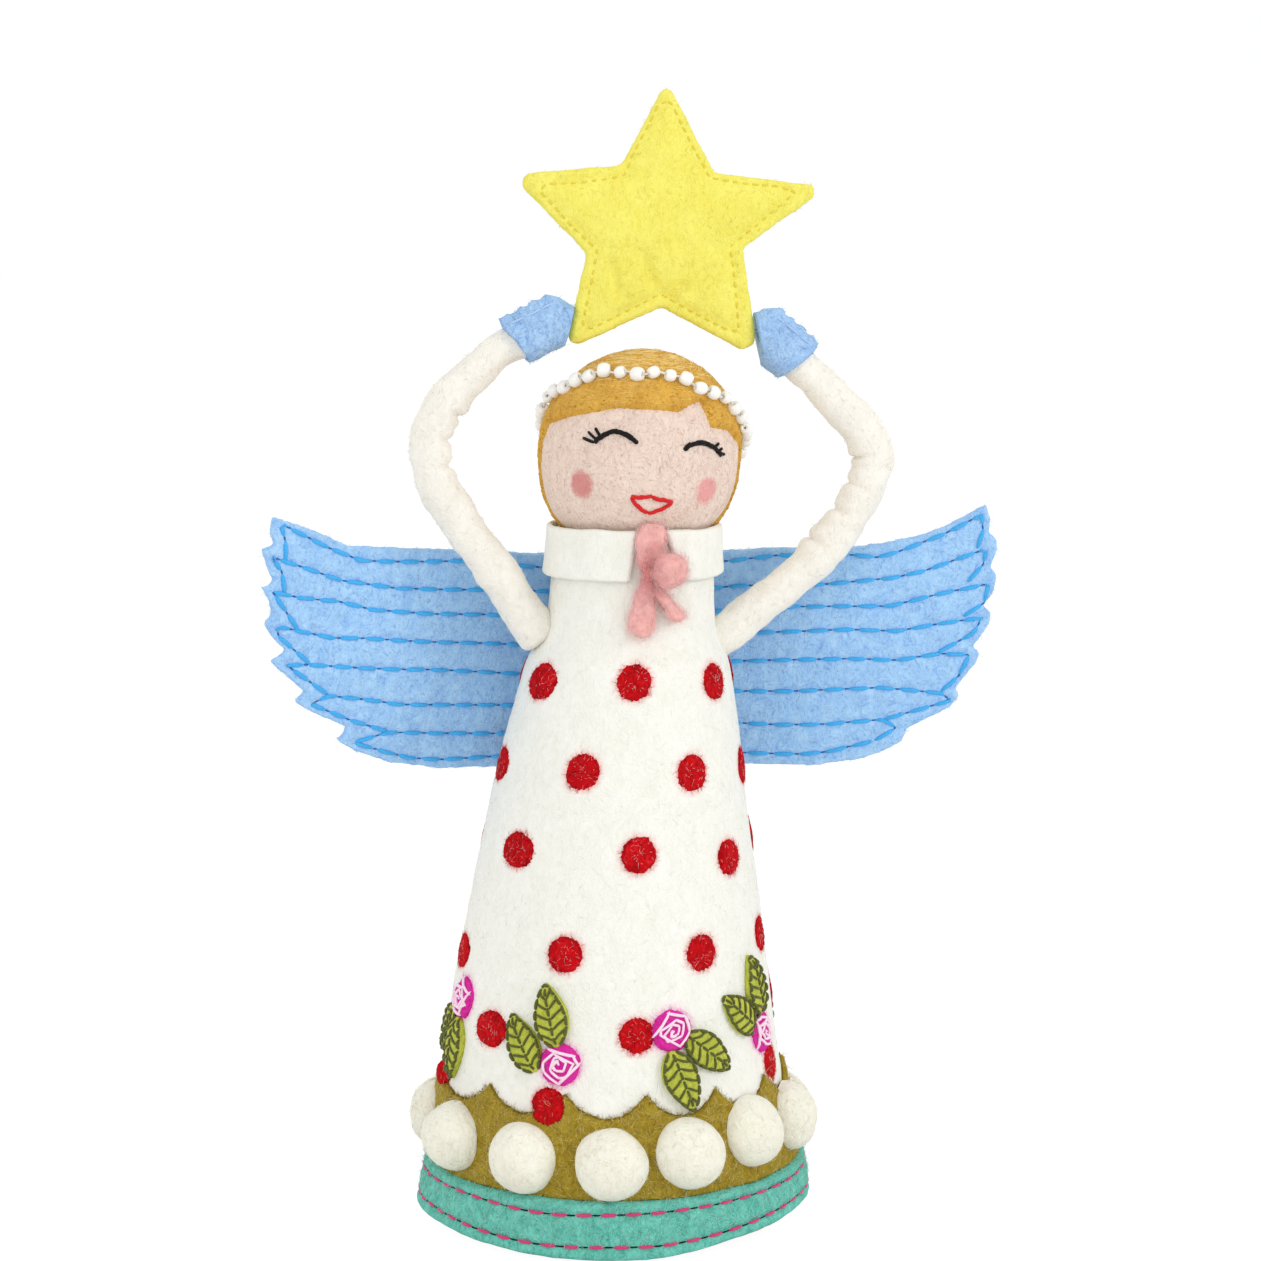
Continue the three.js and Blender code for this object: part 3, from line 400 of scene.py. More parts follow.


# Black thread for the eyes; the same black also makes the strands in the hem's stitch gaps, painted shade
# where the pink thread dips into the felt
BLACK_THREAD_AND_GAP_SHADE = cotton("black_thread", srgb(30, 26, 26), srgb(8, 7, 7), 0.15, 0.04)
RED_THREAD = cotton("red_thread", srgb(230, 30, 34), srgb(186, 10, 16))
BLUE_THREAD = cotton("blue_thread", srgb(84, 196, 250), srgb(36, 152, 226))
PALE_BLUE_THREAD = cotton("pale_blue_thread", srgb(196, 222, 248), srgb(140, 180, 228))
HOT_PINK_THREAD = cotton("hot_pink_thread", srgb(230, 70, 128), srgb(190, 38, 96))
PALE_PINK_THREAD = cotton("pale_pink_thread", srgb(254, 236, 246), srgb(246, 204, 228))
YELLOW_THREAD = cotton("yellow_thread", srgb(238, 222, 80), srgb(216, 194, 54))
# Painted shade: dark blue for the strands in the gaps between the wing stitches, where the thread dips into
# the felt
SHADOW_THREAD = cotton("shadow_thread", srgb(44, 110, 190), srgb(22, 78, 156))
GREEN_THREAD = cotton("green_thread", srgb(100, 104, 32), srgb(66, 70, 16))
WHITE_THREAD = cotton("white_thread", srgb(244, 242, 236), srgb(220, 216, 206))
BEAD_GLASS = hard("bead_glass", srgb(250, 249, 246), srgb(240, 238, 232), 420, 0.12, 0.3, coat=0.5)
CARD = hard("lining_card", srgb(196, 176, 142), srgb(164, 142, 108), 260, 0.75, 0.95)
STEEL = hard("wire_steel", srgb(170, 170, 172), srgb(140, 140, 143), 500, 0.25, 0.45, metal=1.0)


# Shaping

def spline(points, share):
    """Smooth curve through points, at a share of the way along it."""
    spot = share * (len(points) - 1)
    first = min(int(spot), len(points) - 2)
    part = spot - first
    near = [Vector(points[min(max(first + step, 0), len(points) - 1)]) for step in (-1, 0, 1, 2)]
    rise, fall = (near[2] - near[0]) / 2, (near[3] - near[1]) / 2
    square, cube = part ** 2, part ** 3
    return ((2 * near[1] - 2 * near[2] + rise + fall) * cube
            + (3 * near[2] - 3 * near[1] - 2 * rise - fall) * square + rise * part + near[1])


DRESS_LINE = [spline(DRESS_OUTLINE, step / 90) for step in range(91)]
DRESS_HEIGHTS = [point.y for point in DRESS_LINE]
DRESS_RADII = [point.x for point in DRESS_LINE]


def dress_radius(height):
    return float(np.interp(height, DRESS_HEIGHTS, DRESS_RADII))


def around(angle, radius, height):
    """Point at an angle in degrees from the front, towards the viewer's right."""
    turn = math.radians(angle)
    return Vector((radius * math.sin(turn), -radius * math.cos(turn), height))


def on_dress(angle, height, across=0.0, up=0.0, off=0.0):
    """Point of a flat trim bent round the dress: across and up from its place, off the felt."""
    level = height + up
    turn = angle + math.degrees(across / dress_radius(height))
    return around(turn, dress_radius(level) + off, level)


def placed(point):
    """Where a point of the upright figure lies once it leans, sways and turns up its hem, in metres."""
    sway = SKIRT_SWAY * smoothstep(*SWAY_STARTS, point.z) * (1 - smoothstep(*SWAY_ENDS, point.z))
    turn = math.radians(VIEW_TURN)
    side = (point.x * math.cos(turn) - point.y * math.sin(turn)) / HEM_REACH
    curl = (HEM_CURL["right"] * smoothstep(CURL_STARTS, 1, side)
            + HEM_CURL["left"] * smoothstep(CURL_STARTS, 1, -side))
    rise = curl * (1 - smoothstep(0, CURL_HEIGHT, point.z))
    return Vector((point.x + LEAN * point.z - sway, point.y, point.z + rise)) * MM


def lattice(bm, across, along):
    """Flat grid of unit size; returns its vertices."""
    return bmesh.ops.create_grid(bm, x_segments=across, y_segments=along, size=0.5)["verts"]


def mould(verts, rule):
    for vert in verts:
        vert.co = rule(vert.co.x + 0.5, vert.co.y + 0.5)


def weld(bm, distance=0.002):
    bmesh.ops.remove_doubles(bm, verts=bm.verts, dist=distance)


def settle(bm):
    """Orders points and faces by their places, because some operators leave them in no fixed order."""
    ranked = ((bm.verts, lambda vert: vert.co[:]), (bm.faces, lambda face: face.calc_center_median()[:]))
    for items, place in ranked:
        for rank, item in enumerate(sorted(items, key=place)):
            item.index = rank
        items.sort()


def ball(bm, finer):
    return bmesh.ops.create_icosphere(bm, subdivisions=finer, radius=1)["verts"]


def roughen(bm, size, height, seed):
    """Swells and dents of a size, as hand-felted wool has them."""
    bmesh.ops.recalc_face_normals(bm, faces=bm.faces)
    bm.normal_update()
    shift = Vector((7.3, 1.9, 4.1)) * seed
    heights = [noise.noise(vert.co / size + shift) * height for vert in bm.verts]
    for vert, rise in zip(bm.verts, heights):
        vert.co += vert.normal * rise


def soften(bm, times):
    for _ in range(times):
        bmesh.ops.smooth_vert(bm, verts=bm.verts, factor=0.5,
                              use_axis_x=True, use_axis_y=True, use_axis_z=True)


def keep_off_floor(bm):
    for vert in bm.verts:
        vert.co.z = max(vert.co.z, 0)


def any_way(draw, spread=1.0):
    return Vector((draw.gauss(0, spread), draw.gauss(0, spread), draw.gauss(0, spread)))


def piece(name, bm, material, body, slot, stands_for=()):
    """Turns a finished shape into an object of the figure that moves with a body."""
    bmesh.ops.recalc_face_normals(bm, faces=bm.faces)
    for vert in bm.verts:
        vert.co = placed(vert.co)
    mesh = bpy.data.meshes.new(name)
    bm.to_mesh(mesh)
    bm.free()
    mesh.shade_smooth()
    mesh.materials.append(material)
    made = bpy.data.objects.new(name, mesh)
    bpy.context.collection.objects.link(made)
    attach(made, body)
    if stands_for:
        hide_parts(*stands_for)
    return made


def spaced(points, step=None, count=None):
    """Points at even steps along a broken line, or so many of them, and its length."""
    ends = [0.0]
    for before, after in zip(points, points[1:]):
        ends.append(ends[-1] + (after - before).length)
    found = []
    for spot in np.linspace(0, ends[-1], count or max(2, round(ends[-1] / step) + 1)):
        k = min(max(int(np.searchsorted(ends, spot)) - 1, 0), len(points) - 2)
        part = (spot - ends[k]) / max(ends[k + 1] - ends[k], 1e-9)
        found.append(points[k].lerp(points[k + 1], part))
    return found, ends[-1]


def pressed_on(surface, points, outward):
    """The points moved along their way out, onto a shape's surface."""
    found = []
    for point in points:
        way = outward(point)
        hit = surface.ray_cast(point + way * 6, -way, 12)[0]
        found.append(point if hit is None else hit)
    return found


# Rings of a stitch: share of its length, width and lift as shares of the thread's radius
STITCH_RINGS = [(0, 0, -1.2), (0.05, 0.75, -0.5), (0.2, 1, 0.25), (0.5, 1, 0.6), (0.8, 1, 0.25),
                (0.95, 0.75, -0.5), (1, 0, -1.2)]
STITCH_STEP = 0.25
# Radius of the dark strand laid in each stitch gap as painted shade, and how far it laps under the stitches
GAP_SHADE_RADIUS = 0.2
GAP_LAP = 0.3


def tubes(runs, sides=6):
    """Closed threads, made all at once: each is a run of rings of centre, two ways across and radius."""
    rings = len(runs[0])
    rows = rings * len(runs)
    bm = bmesh.new()
    thread_of = {}
    for vert in lattice(bm, sides, rows - 1):
        row = round((vert.co.y + 0.5) * (rows - 1))
        bend = FULL_TURN * (vert.co.x + 0.5)
        centre, side, up, radius = runs[row // rings][row % rings]
        vert.co = centre + (side * math.cos(bend) + up * math.sin(bend)) * radius
        thread_of[vert] = row // rings
    between = [face for face in bm.faces if len({thread_of[vert] for vert in face.verts}) > 1]
    bmesh.ops.delete(bm, geom=between, context="FACES")
    weld(bm, 0.0005)
    return bm


def stitch(runs, line, radius, outward):
    """One thread stitch over a line of points, its ends drawn into the felt."""
    line, _ = spaced(line, STITCH_STEP)
    run = []
    for share, width, lift in STITCH_RINGS:
        spot = share * (len(line) - 1)
        k = min(int(spot), len(line) - 2)
        centre = line[k].lerp(line[k + 1], spot - k)
        off = outward(centre)
        side = (line[k + 1] - line[k]).cross(off).normalized()
        run.append((centre + off * lift * radius, side, off, radius * width))
    runs.append(run)


def running_stitch(runs, points, length, gap, radius, outward, between=None):
    """Stitches in a row along a broken line, as many as fit it, and, when asked, a thin dark strand in each
    gap between them: painted shade where the thread dips into the felt.
    """
    line, total = spaced(points, STITCH_STEP)
    count = max(1, round((total + gap) / (length + gap)))
    pitch = (total + gap) / count
    def part(first, last):
        start = int(max(0, first / total) * (len(line) - 1))
        stop = int(min(1, last / total) * (len(line) - 1))
        return line[start:stop + 1]
    for k in range(count):
        stitch(runs, part(k * pitch, (k + 1) * pitch - gap), radius, outward)
        if between is not None and k:
            stitch(between, part(k * pitch - gap - GAP_LAP, k * pitch + GAP_LAP), GAP_SHADE_RADIUS, outward)


def strand(runs, points, radius, outward):
    """One strand of wool through points, tapered at both ends."""
    run = []
    last = len(points) - 1
    for k, point in enumerate(points):
        way = points[min(k + 1, last)] - points[max(k - 1, 0)]
        side = way.cross(outward(point)).normalized()
        run.append((point, side, side.cross(way).normalized(), 0 if k in (0, last) else radius))
    runs.append(run)


# Rings of a loose fibre: share of its length, and width as a share of its radius
WISP_RINGS = ((0, 0), (0.3, 1), (0.7, 0.8), (1, 0))
WISP_ROOT = 0.12
WISP_ARCH = 2.2
WISP_CURL = 0.7


def wisp(runs, root, outward, along, length, rise, radius, draw):
    """One loose fibre: leaves the wool at a slant and curls aside."""
    aside = outward.cross(along).normalized()
    curl = draw.uniform(-WISP_CURL, WISP_CURL)
    run = []
    for share, width in WISP_RINGS:
        lift = rise * math.sin(share * WISP_ARCH)
        bend = aside * curl * length * share ** 2
        centre = root + along * length * share + bend + outward * (lift - WISP_ROOT)
        run.append((centre, aside, outward, radius * width))
    runs.append(run)


def scatter(bm, count, seed, keep=None):
    """Places spread over a shape, with the way out of the wool there."""
    draw = random.Random(seed)
    bmesh.ops.recalc_face_normals(bm, faces=bm.faces)
    bm.normal_update()
    faces = [face for face in bm.faces if keep is None or keep(face.calc_center_median(), face.normal)]
    sizes = np.cumsum([face.calc_area() for face in faces])
    found = []
    for _ in range(count):
        face = faces[min(int(np.searchsorted(sizes, draw.random() * sizes[-1])), len(faces) - 1)]
        shares = [draw.random() for _ in face.verts]
        point = sum((vert.co * share for vert, share in zip(face.verts, shares)), Vector()) / sum(shares)
        found.append((point, face.normal.copy()))
    return found


def fuzz(name, places, material, body, slot, length, rise, radius=0.05, seed=1):
    """Loose fibres that stand off a felted surface."""
    draw = random.Random(seed)
    runs = []
    for point, outward in places:
        way = any_way(draw)
        along = (way - outward * way.dot(outward)).normalized()
        reach, lift = length * draw.uniform(0.5, 1.4), rise * draw.uniform(0.3, 1.3)
        wisp(runs, point, outward, along, reach, lift, radius, draw)
    piece(name, tubes(runs, 3), material, body, slot)


def from_axis(point):
    return Vector((point.x, point.y, 0)).normalized()


def from_head(point):
    return (point - HEAD_CENTRE).normalized()


# Dress and hem

BAND_HEIGHT = 13.5
BAND_THICKNESS = 2.4
BAND_ROUNDING = 1.3
BAND_LIP = 0.35
BAND_ROWS = (3.1, 10.6)
GROOVE_DEPTH = 0.5
GROOVE_WIDTH = 0.75
# The olive edge's thickness
EDGE_THICKNESS = 1.0
# Share of the edge's rows that lie in front, and how it rolls in at the top, frays and sits in the felt
EDGE_FRONT = 0.8
EDGE_ROLL = 1.6
EDGE_FRAY = 0.45
EDGE_TUCK = 0.15
BALL_RADIUS = 8.4
BALL_SINK = 0.4
BALL_HEIGHT = 23.0
SCALLOP_VALLEY = 32.2
SCALLOP_DEPTH = 5.4
# Balls round the hem: angle, rise above the row, and how far each stands out
BALLS = ((-109, -1.4, 7), (-68.5, 0.2, 8.6), (-39, -0.9, 7.2), (-10.6, -1.1, 7.2), (14.3, 0.5, 7.2),
         (39.2, 3, 7.2), (66, 2.1, 6.9), (100, -1.2, 7.2), (125.5, 0.2, 7.2), (151, -0.4, 7.2),
         (176, 0.2, 7.2), (201.5, 0.5, 7.2), (226, -0.3, 7.2))
BALL_ANGLES = tuple(place[0] for place in BALLS)


def spun(profile, steps):
    """Closed body turned about the figure's axis from radius and height pairs."""
    bm = bmesh.new()
    verts = [bm.verts.new((0, -radius, height)) for radius, height in profile]
    edges = [bm.edges.new((a, b)) for a, b in zip(verts, verts[1:] + verts[:1])]
    bmesh.ops.spin(bm, geom=verts + edges, cent=(0, 0, 0), axis=(0, 0, 1), angle=FULL_TURN, steps=steps,
                   use_merge=True)
    weld(bm)
    settle(bm)
    return bm


def mark_bleed(bm, layer, centres, radius):
    """How far each point of the dress lies in the halo of a felted patch, from 1 at its rim to 0."""
    halo = bm.verts.layers.float.new(layer)
    spots = np.array([vert.co for vert in bm.verts])
    turns = np.degrees(np.arctan2(spots[:, 0], -spots[:, 1]))
    nearest = np.full(len(spots), 1e9)
    for angle, height in centres:
        across = np.radians((turns - angle + 180) % 360 - 180) * dress_radius(height)
        nearest = np.minimum(nearest, np.hypot(across, spots[:, 2] - height))
    for vert, gap in zip(bm.verts, nearest):
        vert[halo] = 1 - smoothstep(radius - 0.6, radius + 1.5, gap)


def make_dress():
    rounding = [(math.sin(turn), math.cos(turn)) for turn in np.linspace(-math.pi / 2, math.pi / 2, 7)]
    half = DRESS_WALL / 2
    outside = [(dress_radius(height), height) for height in np.linspace(0, RIM_HEIGHT - half, 130)]
    rim = [(dress_radius(RIM_HEIGHT) - half - half * sine, RIM_HEIGHT - half + half * cosine)
           for sine, cosine in rounding[1:-1]]
    inside = [(dress_radius(height) - DRESS_WALL, height) for height in np.linspace(RIM_HEIGHT - half, 0, 40)]
    bm = spun(outside + rim + inside, 200)
    roughen(bm, 14, 0.3, 1)
    roughen(bm, 4, 0.12, 2)
    keep_off_floor(bm)
    for vert in bm.verts:
        reach, outside = math.hypot(vert.co.x, vert.co.y), dress_radius(vert.co.z)
        if outside - DRESS_WALL / 2 < reach < outside - DEEPEST_DENT and vert.co.z < RIM_HEIGHT - DRESS_WALL:
            vert.co += from_axis(vert.co) * (outside - DEEPEST_DENT - reach)
    places = scatter(bm, 3600, 11, lambda point, way: way.dot(from_axis(point)) > 0.5 and 37 < point.z < 152)
    mark_bleed(bm, "red_bleed", DOTS, DOT_RADIUS)
    mark_bleed(bm, "rose_bleed", [spray[:2] for spray in SPRAYS], ROSE_RADIUS)
    bleed(DRESS_FELT, "red_bleed", srgb(232, 110, 112))
    bleed(DRESS_FELT, "rose_bleed", srgb(240, 130, 204))
    dress = piece("felt_dress", bm, DRESS_FELT, "figure", "cream_felt", ["dress"])
    rings = zip(DRESS_LINE, DRESS_LINE[1:])
    lateral = sum(math.pi * (low.x + high.x) * (high - low).length for low, high in rings)
    fuzz("dress_fuzz", places, CREAM, "figure", "cream_felt", 1.9, 0.2, 0.04)


def band_radius(height):
    edge = min(height, BAND_HEIGHT - height)
    round_off = math.sqrt(max(0, 1 - (1 - min(edge / BAND_ROUNDING, 1)) ** 2))
    groove = sum(GROOVE_DEPTH * math.exp(-((height - row) / GROOVE_WIDTH) ** 2) for row in BAND_ROWS)
    return dress_radius(height) + SEWN_GAP + BAND_THICKNESS * mix(BAND_LIP, 1, round_off) - groove


def make_band():
    heights = np.linspace(0, BAND_HEIGHT, 46)
    profile = [(band_radius(height), height) for height in heights]
    profile += [(dress_radius(height) + 0.1, height) for height in heights[::-9]]
    bm = spun(profile, 240)
    roughen(bm, 16, 0.4, 3)
    roughen(bm, 3.5, 0.2, 4)
    keep_off_floor(bm)
    surface = BVHTree.FromBMesh(bm)
    places = scatter(bm, 4600, 23, lambda point, way: way.dot(from_axis(point)) > 0.3 and point.z > 3.4)
    band = piece("hem_band_felt", bm, TEAL, "figure", "teal_felt", ["hem_band"])
    over, under = [], []
    for row in BAND_ROWS:
        circle = [around(angle, 46, row + 0.3 * math.sin(math.radians(angle * 5 + 40 * row)))
                  for angle in range(180, 541)]
        circle = pressed_on(surface, circle, from_axis)
        running_stitch(over, circle, 4.0, 1.7, 0.43, from_axis, under)
    piece("hem_stitches", tubes(over), HOT_PINK_THREAD, "figure", "pink_thread")
    # Painted shade: dark strands in the gaps between the pink stitches, where the thread dips into the felt
    piece("hem_stitch_gaps", tubes(under), BLACK_THREAD_AND_GAP_SHADE, "figure", "black_thread")
    fuzz("band_fuzz", places, LOOSE_TEAL, "figure", "teal_felt", 2.4, 0.2, 0.055)


def scallop_top(angle):
    """Height of the olive edge: a bow between each two balls' gaps."""
    angles = [BALL_ANGLES[-1] - 360, *BALL_ANGLES, BALL_ANGLES[0] + 360, BALL_ANGLES[1] + 360]
    gaps = [(a + b) / 2 for a, b in zip(angles, angles[1:])]
    angle = (angle - gaps[0]) % 360 + gaps[0]
    k = max(i for i in range(len(gaps) - 1) if gaps[i] <= angle)
    share = (angle - gaps[k]) / (gaps[k + 1] - gaps[k])
    return SCALLOP_VALLEY + SCALLOP_DEPTH * abs(2 * share - 1) ** 2.2


def make_edge():
    bm = bmesh.new()
    around_steps, up_steps = 720, 30
    foot = BAND_HEIGHT - 0.6
    def rule(across, along):
        angle = across * 360
        fray = noise.noise(Vector((math.cos(across * FULL_TURN) * 36, math.sin(across * FULL_TURN) * 36, 0)))
        top = scallop_top(angle) + EDGE_FRAY * fray
        front = along < EDGE_FRONT
        share = along / EDGE_FRONT if front else (1 - along) / (1 - EDGE_FRONT)
        height = mix(foot, top, share)
        swell = math.sqrt(max(0, 1 - max(0, 1 - (top - height) / EDGE_ROLL) ** 2))
        off = mix(-EDGE_TUCK, EDGE_THICKNESS + SEWN_GAP, swell) if front and along > 0 else -EDGE_TUCK
        return around(angle, dress_radius(height) + off, height)
    mould(lattice(bm, around_steps, up_steps), rule)
    weld(bm)
    roughen(bm, 5, 0.25, 5)
    roughen(bm, 1.6, 0.14, 6)
    places = scatter(bm, 5200, 12, lambda point, way: way.dot(from_axis(point)) > 0.1 and point.z > 14)
    edge = piece("olive_edge", bm, OLIVE, "figure", "olive_wool", ["hem_edge"])
    fuzz("olive_fuzz", places, LOOSE_OLIVE, "figure", "olive_wool", 2.8, 0.22, 0.06)
    draw = random.Random(12)
    runs = []
    for _ in range(2400):
        angle = draw.uniform(0, 360)
        root = on_dress(angle, scallop_top(angle) - draw.uniform(0.1, 0.9), 0, 0, 0.35)
        along = Vector((0, 0, 1)) + around(angle + 90, draw.gauss(0, 0.9), 0)
        wisp(runs, root, from_axis(root), along.normalized(), draw.uniform(0.4, 1.5), 0.15, 0.055, draw)
    piece("olive_edge_fuzz", tubes(runs, 3), OLIVE, "figure", "olive_wool")


def make_balls():
    places = []
    slope = math.atan((dress_radius(BALL_HEIGHT - BALL_RADIUS) - dress_radius(BALL_HEIGHT + BALL_RADIUS))
                      / (2 * BALL_RADIUS))
    for k, (angle, rise, stand) in enumerate(BALLS):
        bm = bmesh.new()
        for vert in ball(bm, 5):
            depth = stand * vert.co.z - BALL_SINK
            vert.co = Vector((BALL_RADIUS * vert.co.x, BALL_RADIUS * vert.co.y, max(depth, -0.7)))
        roughen(bm, 7, 0.4, 10 + k)
        roughen(bm, 1.8, 0.07, 30 + k)
        outward = around(angle, math.cos(slope), math.sin(slope))
        turn = Vector((0, 0, 1)).rotation_difference(outward).to_matrix()
        height = BALL_HEIGHT + rise
        seat = around(angle, dress_radius(height) + EDGE_THICKNESS + SEWN_GAP, height)
        for vert in bm.verts:
            vert.co = seat + turn @ vert.co
        places += scatter(bm, 130, 20 + k, lambda point, way: way.dot(outward) > -0.2)
        piece(f"felt_ball_{k + 1:02d}", bm, BALL_WOOL, "figure", "ball_wool", [f"hem_ball_{k + 1:02d}"])
    fuzz("ball_fuzz", places, BALL_WOOL, "figure", "ball_wool", 1.6, 0.4)


# Dots, berries and rose sprays

DOT_RADIUS = 4.1
DOT_RISE = 0.75
PATCH_SINK = 0.25
DOT_RAGS = ((0.08, 1.7), (0.09, 7), (0.06, 19))
# Dots and berries: angle and height
DOTS = ((-63.2, 129.2), (-6.1, 130.3), (45.6, 129.1), (92, 129.5), (143, 129.5), (-114, 129.5),
        (-86, 108.8), (-28, 110), (25.2, 109.2), (71, 108), (121, 109), (-131, 109.5),
        (-55.6, 91), (-0.7, 91.4), (45, 88.6), (89, 90), (141, 90.5), (193, 90), (-115, 90.5),
        (-87, 64.4), (-28, 68.7), (25, 68.3), (66, 68.6), (117, 69), (168, 68.5), (-140, 69),
        (-56.2, 49.8), (-30.8, 34.4), (-1, 50.7), (60, 38.9), (-87, 36.5), (89, 52), (146, 36), (178, 52),
        (234, 36))
# Two leaves of a spray: their roots across and up from the rose, and their directions
UP_LEAVES = ((-5.8, -2.2, 122), (-0.7, 4, 107))
DOWN_LEAVES = ((3.4, -1.1, 321), (-0.4, -4.4, 287))
# Sprays: angle, height and leaves
SPRAYS = ((-76, 54.6, ((-3.2, -2.4, 236), (0, -4.4, 268))), (-26.9, 44, UP_LEAVES), (11.4, 51.4, DOWN_LEAVES),
          (55, 47, ((-3.4, 1.1, 141), (-0.6, 4, 102))), (101, 55.1, DOWN_LEAVES), (146, 45.6, UP_LEAVES),
          (190, 55.1, DOWN_LEAVES), (234, 45.6, UP_LEAVES))
ROSE_RADIUS = 4.9
ROSE_RISE = 1.5
ROSE_RAGS = ((0.08, 1.9), (0.06, 8))
ROSE_CORNERS = 19
LEAF_LENGTH = 14.8
LEAF_WIDTH = 8
LEAF_THICKNESS = 1.05
LEAF_RIM = 0.25
# Points of a slanting vein: along the leaf from its root, and share of the way across
LEAF_VEIN = ((0, 0.05), (0.07, 0.45), (0.13, 0.85))


def dot_width(angle):
    """The dots at the figure's left were laid wider."""
    return 1.3 if -95 < angle < -50 else 1


def ragged(rim, rags):
    """Reach of a torn rim, from waves of a size and a fineness."""
    return 1 + sum(size * noise.noise(rim * fine) for size, fine in rags)


def felted_patch(bm, angle, height, radius, rise, seed):
    """Round patch of wool felted into the dress, its rim drawn out by the needle."""
    for vert in ball(bm, 5):
        turn = math.atan2(vert.co.y, vert.co.x)
        rim = Vector((math.cos(turn), math.sin(turn), seed))
        reach = radius * ragged(rim, DOT_RAGS)
        flat = math.hypot(vert.co.x, vert.co.y)
        off = rise * math.sqrt(max(0, 1 - flat ** 3)) if vert.co.z > 0 else -PATCH_SINK
        off += 0.12 * noise.noise(vert.co * 4 + rim)
        across, up = reach * vert.co.x * dot_width(angle), reach * vert.co.y
        edge_top = scallop_top(angle + math.degrees(across / dress_radius(height)))
        lap = smoothstep(-1, 1, edge_top - height - up)
        vert.co = on_dress(angle, height, across, up, off - 0.1 + (EDGE_THICKNESS + SEWN_GAP) * lap)


def rim_fuzz(runs, angle, height, radius, width, count, draw, ring=(0.7, 0.98), off=0.3, thick=0.045):
    """Fibres on a ring of a felted patch that stray outward over its rim."""
    for _ in range(count):
        spoke = draw.uniform(0, FULL_TURN)
        reach = radius * draw.uniform(*ring)
        across, up = reach * math.cos(spoke) * width, reach * math.sin(spoke)
        root = on_dress(angle, height, across, up, off)
        swing = spoke + draw.gauss(0, 0.9)
        further = on_dress(angle, height, across + math.cos(swing), up + math.sin(swing), off)
        along = (further - root).normalized()
        wisp(runs, root, from_axis(root), along, draw.uniform(0.5, 1.7), 0.12, thick, draw)


def make_dots():
    """The red dots, their own stray fibres, and those of the dress over them."""
    bm = bmesh.new()
    for k, (angle, height) in enumerate(DOTS):
        felted_patch(bm, angle, height, DOT_RADIUS, DOT_RISE, k)
    piece("red_dots", bm, RED_WOOL, "figure", "dot_wool")
    draw = random.Random(13)
    runs = []
    for angle, height in DOTS:
        rim_fuzz(runs, angle, height, DOT_RADIUS, dot_width(angle), 110, draw)
    piece("dot_fuzz", tubes(runs, 3), LOOSE_RED, "figure", "dot_wool")
    runs = []
    for angle, height in DOTS:
        rim_fuzz(runs, angle, height, DOT_RADIUS, dot_width(angle), 26, draw, (0, 0.9), 0.7, 0.02)
    piece("dot_strays", tubes(runs, 3), CREAM, "figure", "cream_felt")


def leaf_half_width(share):
    return LEAF_WIDTH / 2 * math.sin(math.pi * min(1, max(0, share)) ** 0.8) ** 0.8


def leaf_point(angle, height, leaf, along, across, off):
    root_x, root_y, direction = leaf
    turn = math.radians(direction)
    out = LEAF_LENGTH * along
    side = across * leaf_half_width(along)
    x = root_x + out * math.cos(turn) - side * math.sin(turn)
    y = root_y + out * math.sin(turn) + side * math.cos(turn)
    return on_dress(angle, height, x, y, off)


def leaf_rise(along, across):
    return LEAF_THICKNESS * math.sqrt(max(0, 1 - across ** 4)) * min(1, 6 * along, 6 * (1 - along)) + LEAF_RIM


def make_leaf(bm, angle, height, leaf, lift):
    for vert in ball(bm, 5):
        along = (vert.co.x + 1) / 2
        round_about = math.hypot(vert.co.y, vert.co.z)
        across = vert.co.y / round_about if round_about > 1e-6 else 0
        off = leaf_rise(along, across) + lift if vert.co.z > 0 else -0.2
        vert.co = leaf_point(angle, height, leaf, along, across, off)


def sew_leaf(runs, angle, height, leaf, lift):
    """Outline, midrib and slanting veins in dark thread."""
    def on_leaf(along, across):
        return leaf_point(angle, height, leaf, along, across, leaf_rise(along, across * 0.9) + lift)
    steps = [k / 14 for k in range(15)]
    outline = [on_leaf(0.02 + 0.96 * step, -0.93) for step in steps]
    outline += [on_leaf(0.98 - 0.96 * step, 0.93) for step in steps]
    running_stitch(runs, outline, 2.5, 0.05, 0.42, from_axis)
    running_stitch(runs, [on_leaf(0.04 + 0.9 * step, 0) for step in steps], 2.4, 0.05, 0.34, from_axis)
    for k in range(5):
        root = 0.12 + 0.16 * k
        for side in (-1, 1):
            vein = [on_leaf(root + out, across * side) for out, across in LEAF_VEIN]
            stitch(runs, vein, 0.32, from_axis)


def make_rose(bm, angle, height, seed):
    for vert in ball(bm, 5):
        turn = math.atan2(vert.co.y, vert.co.x)
        rim = Vector((math.cos(turn), math.sin(turn), seed))
        flat = math.hypot(vert.co.x, vert.co.y)
        off = ROSE_RISE * math.sqrt(max(0, 1 - flat ** 3)) if vert.co.z > 0 else -PATCH_SINK
        reach = 0.98 * ROSE_RADIUS * ragged(rim, ROSE_RAGS)
        vert.co = on_dress(angle, height, reach * vert.co.x, reach * vert.co.y, off)


